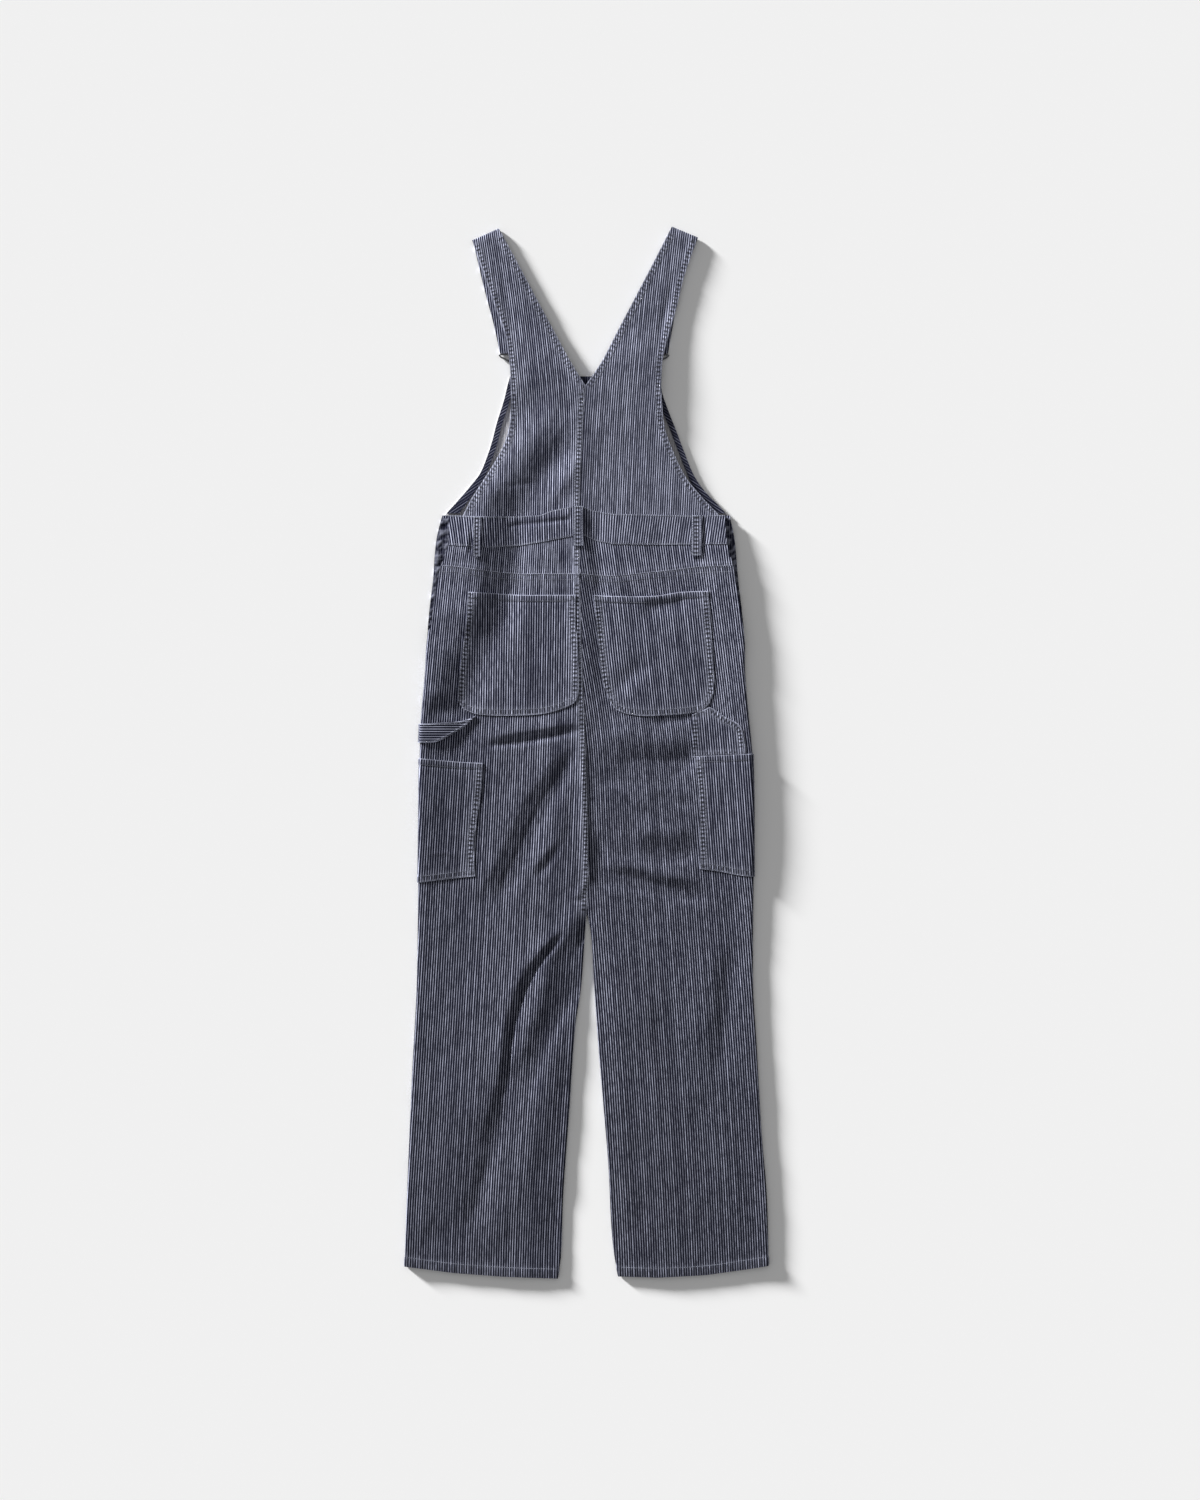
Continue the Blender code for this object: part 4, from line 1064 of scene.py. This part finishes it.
class Wire:
    """A socket of a finish, so that sums on it add Math nodes."""

    def __init__(self, finish, socket):
        self.finish, self.socket = finish, socket

    def _sum(self, operation, *values):
        return self.finish.node("Math", {"operation": operation}, dict(enumerate(values)))

    def __add__(self, other):
        return self._sum("ADD", self, other)

    def __radd__(self, other):
        return self._sum("ADD", other, self)

    def __sub__(self, other):
        return self._sum("SUBTRACT", self, other)

    def __rsub__(self, other):
        return self._sum("SUBTRACT", other, self)

    def __mul__(self, other):
        return self._sum("MULTIPLY", self, other)

    def __rmul__(self, other):
        return self._sum("MULTIPLY", other, self)

    def __truediv__(self, other):
        return self._sum("DIVIDE", self, other)

    def __abs__(self):
        return self._sum("ABSOLUTE", self)

    def floor(self):
        return self._sum("FLOOR", self)

    def sine(self):
        return self._sum("SINE", self)

    def clamp(self):
        return self.finish.node("Clamp", {}, {"Value": self})


class Finish:
    """A material under construction."""

    def __init__(self, name):
        self.material = bpy.data.materials.new(name)
        self.material.use_nodes = True
        self.tree = self.material.node_tree
        self.shader = self.tree.nodes["Principled BSDF"]

    def node(self, kind, settings, values, output=0):
        made = self.tree.nodes.new("ShaderNode" + kind)
        for name, value in settings.items():
            setattr(made, name, value)
        for name, value in values.items():
            self.feed(made.inputs[name], value)
        return Wire(self, made.outputs[output])

    def feed(self, socket, value):
        if isinstance(value, Wire):
            self.tree.links.new(value.socket, socket)
        else:
            socket.default_value = value

    def set(self, **values):
        for name, value in values.items():
            self.feed(self.shader.inputs[name.replace("_", " ")], value)

    def split(self, vector):
        made = self.tree.nodes.new("ShaderNodeSeparateXYZ")
        self.feed(made.inputs[0], vector)
        return [Wire(self, socket) for socket in made.outputs]

    def join(self, x, y, z=0.0):
        return self.node("CombineXYZ", {}, {0: x, 1: y, 2: z})

    def map(self, name):
        return self.split(self.node("UVMap", {"uv_map": name}, {}))

    def noise(self, vector, scale, detail=2.0, roughness=0.5):
        values = {"Vector": vector, "Scale": scale, "Detail": detail, "Roughness": roughness}
        return self.node("TexNoise", {}, values)

    def ranged(self, value, low, high, first=0.0, last=1.0):
        values = {"Value": value, "From Min": low, "From Max": high, "To Min": first, "To Max": last}
        return self.node("MapRange", {"interpolation_type": "SMOOTHSTEP"}, values)

    def mix(self, share, first, last, blend="MIX"):
        settings = {"data_type": "RGBA", "blend_type": blend}
        return self.node("Mix", settings, {0: share, 6: first, 7: last}, output=2)

    def raised(self, height, distance, strength=1.0):
        values = {"Height": height, "Distance": distance, "Strength": strength}
        return self.node("Bump", {}, values)


# Lengths in the cloth, in metres: from stripe to stripe, a stripe's dashes, the turns of its yarn,
# the diagonals of the twill, and the puckers of a worn seam, whose hollows get painted shade
STRIPE_PITCH = 0.00338
DASH_LENGTH = 0.024
YARN_TURN = 0.0011
TWILL_PITCH = 0.0013
RUNG_PITCH = 0.0056
# How much of its pitch a stripe takes
STRIPE_SHARE = 0.22


def denim(name, navy, pale, contrast=1.0, pale_ground_share=0.3):
    """Yarn-dyed twill: a fine pale stripe on navy, worn paler on its ridges and seams. The plackets'
    crumples are paled as painted highlight, and a seam's puckers get painted shade in their hollows
    and painted highlight on their crests.
    """
    finish = Finish(name)
    u, v, _ = finish.map("grain")
    along, away, _ = finish.map("sewn")
    wear_and_painted_light = finish.node("Attribute", {"attribute_name": "wear_and_painted_light"}, {}, output=2)
    spot = finish.node("TexCoord", {}, {}, output=3)
    _, north, _ = finish.split(spot)

    waver = finish.noise(finish.join(u * 30, v * 12), 1.0, 2.0) - 0.5
    stripe_at = (u + waver * 0.0009) / STRIPE_PITCH
    number = stripe_at.floor()
    from_middle = abs(stripe_at - number - 0.5) * 2
    own = finish.node("TexWhiteNoise", {"noise_dimensions": "1D"}, {"W": number})
    half = STRIPE_SHARE * (0.8 + 0.4 * own)
    stripe = 1 - finish.ranged(from_middle, half - 0.1, half + 0.16)
    dashes = finish.noise(finish.join(number * 5.3, v / DASH_LENGTH), 1.0, 4.0, 0.65)
    dashes = finish.ranged(dashes, 0.31, 0.65, 0.4, 1.22)
    yarn = ((v / YARN_TURN + own * 3) * math.tau).sine() * 0.5 + 0.5
    stripe = stripe * dashes * (0.66 + 0.4 * own) * (0.88 + 0.12 * yarn)

    twill = (((u + v) / TWILL_PITCH) * math.tau).sine()
    thread = finish.noise(finish.join(u / 0.0009, v / 0.005), 1.0, 2.0)
    cloud = finish.noise(spot, 9.0, 3.0, 0.55)
    patch_noise = finish.noise(spot, 48.0, 3.0, 0.6)
    slub = finish.noise(finish.join(u / 0.0035, v / 0.05), 1.0, 2.0)
    # Puckers along a seam: their hollows are darkened as painted shade and their crests made paler as
    # painted highlight, more strongly where the wear attribute is higher.
    drift = finish.noise(finish.join(along / 0.03, 0.0), 1.0, 1.0) * 9
    pucker_hollow_shade = (along / RUNG_PITCH * math.tau + drift).sine()
    in_band = finish.ranged(away, -0.0022, -0.0005, 1.0, 0.0) * (wear_and_painted_light * 1.8).clamp()
    pucker_crest_light = finish.ranged(pucker_hollow_shade, -0.3, -0.9) * in_band
    pucker_hollow_shade = finish.ranged(pucker_hollow_shade, -0.2, 0.7) * in_band
    rim = finish.node("Attribute", {"attribute_name": "rim"}, {}, output=2)
    rim_tone = finish.node("Attribute", {"attribute_name": "rim_tone"}, {}, output=2)
    rim_noise = finish.noise(spot, 260.0, 2.0)
    rim_line = finish.ranged(rim, 0.0005, 0.0014, 1.0, 0.0) * rim_tone
    rim_line = rim_line * finish.ranged(rim_noise, 0.3, 0.6, 0.45, 1.0)
    rim_line = rim_line * finish.ranged(finish.noise(spot, 26.0, 1.0), 0.35, 0.65, 0.4, 1.15)

    # Lighter towards the straps and darker down the legs: partly a paler wash at the top, partly
    # painted light for the stronger light that falls on the upper part.
    lift = finish.ranged(north, -0.72, -0.28, 0.69, 0.84) + finish.ranged(north, -0.16, 0.42, 0.0, 0.42)
    base = lift * (0.9 + 0.2 * cloud) * (0.95 + 0.1 * patch_noise) * (0.89 + 0.22 * slub)
    base = base * (0.9 + 0.1 * twill) * (0.88 + 0.24 * thread) * (1 - pucker_hollow_shade * 0.72) * (1 + pucker_crest_light * 0.5)
    # The wear attribute pales the ground: real wear, and on the plackets' crumples painted highlight.
    worn = (wear_and_painted_light * (0.55 + 0.9 * patch_noise)).clamp()
    ground = finish.mix(worn * pale_ground_share, (*navy, 1), (*[0.4 * c for c in pale], 1))
    colour = finish.mix((stripe * contrast).clamp(), ground, (*pale, 1))
    colour = finish.mix(rim_line.clamp() * contrast, colour, (*pale, 1))
    shade = finish.join(base, base, base)
    colour = finish.mix(1.0, colour, shade, "MULTIPLY")
    height = stripe * 0.35 + twill * 0.22 + thread * 0.3 - pucker_hollow_shade * 0.8 + patch_noise * 0.5
    finish.set(
        Base_Color=colour, Roughness=0.86, Sheen_Weight=0.06, Sheen_Roughness=0.5,
        Specular_IOR_Level=0.12, Normal=finish.raised(height, 0.0005, 0.7),
    )
    return finish.material


def thread_finish():
    finish = Finish("topstitch_thread")
    spot = finish.node("TexCoord", {}, {}, output=3)
    tone = finish.noise(spot, 90.0, 3.0, 0.6)
    pale = finish.node("Attribute", {"attribute_name": "tone"}, {}, output=2)
    share = (finish.ranged(tone, 0.3, 0.7, 0.5, 1.0) * pale).clamp()
    colour = finish.mix(share, (0.018, 0.019, 0.03, 1), (0.52, 0.56, 0.68, 1))
    ply = finish.noise(spot, 2600.0, 1.0)
    finish.set(Base_Color=colour, Roughness=0.7, Normal=finish.raised(ply, 0.0002, 0.5))
    return finish.material


def wrong_side():
    finish = Finish("denim_wrong_side")
    u, v, _ = finish.map("grain")
    spot = finish.node("TexCoord", {}, {}, output=3)
    stripe_at = u / STRIPE_PITCH
    from_middle = abs(stripe_at - stripe_at.floor() - 0.5) * 2
    stripe = 1 - finish.ranged(from_middle, 0.2, 0.5)
    cloud = finish.noise(spot, 20.0, 3.0)
    twill = (((u - v) / TWILL_PITCH) * math.tau).sine()
    base = (0.8 + 0.4 * cloud) * (0.92 + 0.08 * twill)
    colour = finish.mix(stripe, (0.48, 0.475, 0.51, 1), (0.66, 0.65, 0.68, 1))
    colour = finish.mix(1.0, colour, finish.join(base, base, base), "MULTIPLY")
    height = twill * 0.4 + cloud
    finish.set(Base_Color=colour, Roughness=0.9, Normal=finish.raised(height, 0.0004, 0.6))
    return finish.material


def steel():
    finish = Finish("wire_steel")
    spot = finish.node("TexCoord", {}, {}, output=3)
    drawn = finish.noise(spot, 700.0, 3.0)
    dull = finish.noise(spot, 160.0, 3.0)
    colour = finish.mix(finish.ranged(dull, 0.35, 0.7), (0.2, 0.2, 0.21, 1), (0.09, 0.09, 0.1, 1))
    finish.set(
        Base_Color=colour, Metallic=1.0, Roughness=finish.ranged(dull, 0.3, 0.7, 0.28, 0.5),
        Normal=finish.raised(drawn, 0.0001, 0.3),
    )
    return finish.material


NAVY = (0.0046, 0.0056, 0.0205)
PALE = (0.65, 0.68, 0.86)
DENIM = denim("striped_denim", NAVY, PALE)
# The bib's facings' denim: a darker copy with faint stripes, painted shade for the shade beside and
# under the bodice's edges.
SHADED_FACING_DENIM = denim("shaded_denim_facing", NAVY, PALE, 0.26, 0.06)
# The plackets' denim: a darker copy with faint stripes, painted shade for the shadow the side openings
# lie in.
SHADED_PLACKET_DENIM = denim("shaded_denim_placket", NAVY, PALE, 0.16, 0.7)
WRONG_SIDE = wrong_side()
THREAD = thread_finish()
STEEL = steel()

PIECES = bpy.data.collections.new("overalls")
bpy.context.scene.collection.children.link(PIECES)


def add_piece(name, data, finish):
    data.materials.append(finish)
    made = bpy.data.objects.new(name, data)
    PIECES.objects.link(made)
    return made


# A wall is steep where it drops this many times as far as it runs across
STEEP = 1.5


def grain_round(sheet):
    """Each place across the stripes, with the way down a wall that turns towards the floor."""
    run, drop = np.diff(sheet.point[..., 0], axis=1), np.diff(sheet.point[..., 2], axis=1)
    steep = np.where(np.abs(drop) > STEEP * np.abs(run), np.abs(drop), 0.0)
    down = np.concatenate((np.zeros((len(steep), 1)), np.cumsum(steep, axis=1)), axis=1)
    down -= down[:, down.shape[1] // 2][:, None]
    return sheet.grain + down * np.sign(sheet.grain[:, -1] - sheet.grain[:, 0])[:, None]


def cloth(name, sheet, finish):
    """The sheet as a wall of cloth: a grid set on its places, and its wall extruded inwards."""
    rows, columns = sheet.across.shape
    mesh = bmesh.new()
    bmesh.ops.create_grid(mesh, x_segments=columns - 1, y_segments=rows - 1, size=0.5)
    spot = mesh.verts.layers.int.new("spot")
    outer = (sheet.point * MM).reshape(-1, 3)
    inner = ((sheet.point + sheet.inward * sheet.wall[..., None]) * MM).reshape(-1, 3)
    for vert in mesh.verts:
        row = round((vert.co.y + 0.5) * (rows - 1))
        vert[spot] = row * columns + round((vert.co.x + 0.5) * (columns - 1))
        vert.co = outer[vert[spot]]
    made = bmesh.ops.extrude_face_region(mesh, geom=mesh.faces[:])
    for vert in made["geom"]:
        if isinstance(vert, bmesh.types.BMVert):
            vert.co = inner[vert[spot]]
    bmesh.ops.recalc_face_normals(mesh, faces=mesh.faces[:])
    data = bpy.data.meshes.new(name)
    mesh.to_mesh(data)
    mesh.free()

    index = np.empty(len(data.vertices), np.int32)
    data.attributes["spot"].data.foreach_get("value", index)
    corner = np.empty(len(data.loops), np.int32)
    data.loops.foreach_get("vertex_index", corner)
    maps = {
        "grain": (grain_round(sheet), sheet.up * sheet.dash),
        "sewn": (sheet.along, sheet.away),
    }
    for label, (first, last) in maps.items():
        layer = data.uv_layers.new(name=label)
        values = np.stack((first, last), axis=-1).reshape(-1, 2)[index[corner]] * MM
        layer.data.foreach_set("uv", values.astype(np.float32).ravel())
    for label, field in (("wear_and_painted_light", sheet.wear_and_painted_light), ("rim", sheet.rim * MM), ("rim_tone", sheet.rim_tone)):
        layer = data.attributes.new(label, "FLOAT", "POINT")
        layer.data.foreach_set("value", field.reshape(-1)[index].astype(np.float32))
    data.attributes.remove(data.attributes["spot"])
    data.shade_smooth()
    data.set_sharp_from_angle(angle=math.radians(55))
    return add_piece(name, data, finish)


# A stitch's length, width and height, then the pitch of a row, how far a stitch strays along it,
# how far it stands off the cloth, and how far to each side of it the row's way is measured
STITCH = (2.7, 0.85, 0.28)
STITCH_PITCH = 3.3
STITCH_STRAY = 0.12
STITCH_LIFT = 0.06
STITCH_REACH = 0.8


def stitch_shape():
    """One stitch: a short rounded thread, as its vertices and faces."""
    mesh = bmesh.new()
    bmesh.ops.create_uvsphere(mesh, u_segments=6, v_segments=4, radius=0.5)
    verts = np.array([vert.co[:] for vert in mesh.verts])
    faces = [[vert.index for vert in face.verts] for face in mesh.faces]
    mesh.free()
    return verts, faces


def stitches(name, rows):
    """Rows of stitches joined in one mesh. A row is its places, in order, and their ways out."""
    shape, faces = stitch_shape()
    draw = np.random.default_rng(11)
    every_vert, every_face, tones = [], [], []
    total = 0
    for points, outs, tone in rows:
        ways = np.concatenate(([0.0], np.cumsum(np.linalg.norm(np.diff(points, axis=0), axis=1))))
        middles = np.arange(STITCH_PITCH / 2, ways[-1], STITCH_PITCH)
        middles = middles + draw.uniform(-STITCH_STRAY, STITCH_STRAY, len(middles))
        at = lambda where, table: np.stack(
            [np.interp(where, ways, table[:, k]) for k in range(3)], axis=-1
        )
        centre = at(middles, points)
        before, after = middles - STITCH_REACH, middles + STITCH_REACH
        ahead = at(after, points) - at(before, points)
        ahead /= np.linalg.norm(ahead, axis=1)[:, None] + 1e-9
        out = at(middles, outs)
        out /= np.linalg.norm(out, axis=1)[:, None] + 1e-9
        beside = np.cross(out, ahead)
        beside /= np.linalg.norm(beside, axis=1)[:, None] + 1e-9
        for k in range(len(middles)):
            frame_of = np.stack((beside[k] * STITCH[1], out[k] * STITCH[2], ahead[k] * STITCH[0]))
            every_vert.append(centre[k] + out[k] * STITCH_LIFT + shape @ frame_of)
            every_face += [[total + i for i in face] for face in faces]
            tones += [tone] * len(shape)
            total += len(shape)
    data = bpy.data.meshes.new(name)
    data.from_pydata((np.concatenate(every_vert) * MM).tolist(), [], every_face)
    layer = data.attributes.new("tone", "FLOAT", "POINT")
    layer.data.foreach_set("value", np.array(tones, np.float32))
    data.shade_smooth()
    return add_piece(name, data, THREAD)


def sheet_at(sheet, line):
    """Places and ways out on a sheet under a line of (across, up), by its nearest grid places."""
    line = curve(line, max(8, int(length_of(line) / 1.6)))
    grid = np.stack((sheet.across.ravel(), sheet.up.ravel()), axis=-1)
    points, outs = sheet.point.reshape(-1, 3), -sheet.inward.reshape(-1, 3)
    made_points, made_outs = [], []
    for spot in line:
        away = np.hypot(*(grid - spot).T)
        near = np.argpartition(away, 4)[:4]
        weight = 1 / (away[near] + 0.05) ** 2
        weight /= weight.sum()
        point = weight @ points[near]
        made_points.append((spot[0], spot[1] - LENGTH / 2, point[2]))
        made_outs.append(weight @ outs[near])
    return np.array(made_points), np.array(made_outs)


def length_of(line):
    return float(np.hypot(*np.diff(np.array(line, float), axis=0).T).sum())


def trimmed(line, start, end):
    """A line without a stretch at its start and at its end."""
    points = curve(line, 160)
    ways = ways_along(points)
    keep = (ways >= start) & (ways <= ways[-1] - end)
    return points[keep]


ROW_GAP = 6.4
SHEETS = {}
STITCH_ROWS = {}


def sewn_rows(name, tone, *lines):
    """Rows of stitches on a piece: tone is 0 for dark thread and 1 for pale."""
    STITCH_ROWS.setdefault(name, []).extend((line, tone) for line in lines)


def make_sheets():
    SHEETS.update(bib_pieces())
    for side in SIDES:
        SHEETS[f"front_leg_{side}"] = front_leg(side)
        SHEETS[f"placket_{side}"] = placket(side)
        SHEETS[f"back_leg_{side}"] = back_leg(side)
        SHEETS[f"back_yoke_{side}"] = yoke(side)
        SHEETS[f"back_bodice_{side}"] = bodice(side)
    SHEETS["back_waistband"] = waistband()
    for name in POCKETS:
        SHEETS[name] = pocket(name)
    SHEETS["tool_pocket_right"] = tool_pocket()
    SHEETS["hammer_loop"] = hammer_loop()
    for name in BELT_LOOPS:
        SHEETS[name] = belt_loop(name)


def twin(line, first):
    """Two rows beside a line, the second one further off it."""
    return offset(line, first), offset(line, first + math.copysign(ROW_GAP, first))


def stitch_legs():
    for side in SIDES:
        sewn_rows(f"back_leg_{side}", 0.45, trimmed(shifted(HEM[side], HEM_DEPTH), 5, 4))
        seam = [p for p in YOKE_SEAM if (p[0] < -9) == (side == "left")]
        ends = ((-199, 984), *seam[1:], (-10, 973)) if side == "left" else (*seam[:-1], (200, 984))
        sewn_rows(f"back_leg_{side}", 0.2, *twin(ends, -1.6))
    sewn_rows("back_leg_left", 0.35, *twin(centre_line(520.0, 972.0, 8.0), 1.6))
    sewn_rows("back_yoke_left", 0.35, *twin(centre_line(974.0, 1022.0, 6.0), 1.6))


def stitch_waistband():
    for row, move in ((BAND_TOP, -1.8), (BAND_BOTTOM, 1.8)):
        line = [(p[0], p[1] + move) for p in row]
        line[0], line[-1] = (-188.5, line[0][1]), (189, line[-1][1])
        sewn_rows("back_waistband", 0.3, line)


def stitch_bodice():
    for side, inside in (("left", -1), ("right", 1)):
        edges = SHEETS[f"back_bodice_{side}"].edges
        for move in (1.8, 1.8 + ROW_GAP):
            sewn_rows(f"back_bodice_{side}", 0.3, offset(edges["outer"][::3], inside * move))
            sewn_rows(f"back_bodice_{side}", 0.2, offset(edges["inner"][1::3], -inside * move))
            if side == "left":
                sewn_rows("back_bodice_left", 0.3, offset(edges["seam"][::4], move))


def stitch_pockets():
    for name in POCKETS:
        top, right, bottom, left = SHEETS[name].sides
        around = [*left[:-1], *bottom, *right[::-1][1:]]
        if name == "side_pocket_left":
            around = [*bottom, *right[::-1][1:]]
        if name == "side_pocket_right":
            around = [*left[:-1], *bottom]
        for row in twin(around[::6] + [around[-1]], 1.6):
            sewn_rows(name, 0.3, trimmed(row, 2, 2))
        sewn_rows(name, 0.2, trimmed(offset(top[::8], -8.5), 3, 3))


def stitch_small_pieces():
    top, outer = SHEETS["tool_pocket_right"].sides[:2]
    sewn_rows("tool_pocket_right", 0.4, trimmed(offset(outer[::5], -1.6), 2, 2))
    sewn_rows("tool_pocket_right", 0.3, trimmed(offset(outer[::5], -1.6 - ROW_GAP), 6, 8))
    sewn_rows("tool_pocket_right", 0.3, trimmed(offset(top[::3], -1.6), 1, 1))
    sides = SHEETS["hammer_loop"].sides
    sewn_rows("hammer_loop", 0.4, trimmed(offset(sides[0][::5], -2.0), 3, 4))
    sewn_rows("hammer_loop", 0.4, trimmed(offset(sides[2][::5], 2.0), 3, 6))
    for name, (middle, width, low, high, lean, _, _) in BELT_LOOPS.items():
        for edge in (-0.5, 0.5):
            x = middle + (width - 3.4) * edge
            line = [(x - lean / 2, low + 2), (x, (low + high) / 2), (x + lean / 2, high - 2)]
            sewn_rows(name, 0.5, line)
        for up in (low + 1.4, high - 1.4):
            for bar in (up, up + 0.8):
                sewn_rows(name, 0.7, [(middle + width * part, bar) for part in (-0.42, 0.0, 0.42)])


# Pieces whose finish isn't the plain striped one
FINISHES = {
    "bib": WRONG_SIDE,
    "bib_facing_left": SHADED_FACING_DENIM, "bib_facing_right": SHADED_FACING_DENIM, "bib_facing_top": SHADED_FACING_DENIM,
    "placket_left": SHADED_PLACKET_DENIM, "placket_right": SHADED_PLACKET_DENIM,
}


def make_cloth():
    for name, sheet in SHEETS.items():
        piece = cloth(name + "_cloth", sheet, FINISHES.get(name, DENIM))
        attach(piece, "root")
        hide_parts(name)
        "denim_wrong_side" if name == "bib" else "striped_denim"
        if name in STITCH_ROWS:
            rows = [(*sheet_at(sheet, line), tone) for line, tone in STITCH_ROWS[name]]
            made = stitches(name + "_stitches", rows)
            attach(made, "root")


def finish_hardware():
    for name in ("strap_loop_left", "strap_loop_right", "bib_button_left", "bib_button_right"):
        node = bpy.data.objects[name]
        node.data.materials.clear()
        node.data.materials.append(STEEL)


# Photo's middle in the shared frame, the height of the camera and the lens that frames 2.07 m,
# then the floor's half size and level, and the strength of the light from all round
VIEW_MIDDLE = (0.01863, 0.0035)
CAMERA_HEIGHT = 5.758
LENS = 100.0
FLOOR_REACH = 40.0
FLOOR_LEVEL = -0.0004
WORLD_STRENGTH = 0.29


def camera():
    made = bpy.data.cameras.new("camera")
    made.type = "PERSP"
    made.lens = LENS
    made.sensor_fit = "VERTICAL"
    made.sensor_height = 36.0
    made.clip_end = 3 * FLOOR_REACH
    holder = bpy.data.objects.new("camera", made)
    holder.location = (*VIEW_MIDDLE, CAMERA_HEIGHT)
    bpy.context.scene.collection.objects.link(holder)
    bpy.context.scene.camera = holder


def floor():
    mesh = bmesh.new()
    bmesh.ops.create_grid(mesh, x_segments=8, y_segments=8, size=FLOOR_REACH)
    for vert in mesh.verts:
        vert.co.z = FLOOR_LEVEL
    data = bpy.data.meshes.new("floor")
    mesh.to_mesh(data)
    mesh.free()
    finish = Finish("pale_floor")
    spot = finish.node("TexCoord", {}, {}, output=3)
    grain = finish.noise(spot, 900.0, 2.0)
    finish.set(
        Base_Color=(0.9, 0.9, 0.9, 1), Roughness=0.9, Specular_IOR_Level=0.0,
        Normal=finish.raised(grain, 0.00002, 0.1),
    )
    data.materials.append(finish.material)
    made = bpy.data.objects.new("floor", data)
    home = bpy.data.collections.new("floor")
    bpy.context.scene.collection.children.link(home)
    home.objects.link(made)
    return home


def sun(name, strength, spread, elevation, azimuth, receivers):
    """A distant soft light. Azimuth is where it stands, from +X towards +Y."""
    light = bpy.data.lights.new(name, "SUN")
    light.energy = strength
    light.angle = math.radians(spread)
    holder = bpy.data.objects.new(name, light)
    e, a = math.radians(elevation), math.radians(azimuth)
    way = Vector((math.cos(e) * math.cos(a), math.cos(e) * math.sin(a), math.sin(e)))
    holder.rotation_mode = "QUATERNION"
    holder.rotation_quaternion = way.to_track_quat("Z", "Y")
    bpy.context.scene.collection.objects.link(holder)
    holder.light_linking.receiver_collection = receivers


def lights(floor_home):
    world = bpy.data.worlds.new("studio")
    world.use_nodes = True
    world.node_tree.nodes["Background"].inputs["Color"].default_value = (1, 1, 1, 1)
    world.node_tree.nodes["Background"].inputs["Strength"].default_value = WORLD_STRENGTH
    bpy.context.scene.world = world
    sun("key", 9.3, spread=14.0, elevation=14.5, azimuth=141.0, receivers=PIECES)
    sun("low_side", 11.5, spread=8.0, elevation=10.0, azimuth=142.0, receivers=floor_home)
    sun("floor_fill", 0.14, spread=90.0, elevation=90.0, azimuth=0.0, receivers=floor_home)


def main():
    make_sheets()
    stitch_legs()
    stitch_waistband()
    stitch_bodice()
    stitch_pockets()
    stitch_small_pieces()
    make_cloth()
    finish_hardware()
    camera()
    lights(floor())
    bpy.context.scene.view_settings.view_transform = "Standard"


main()
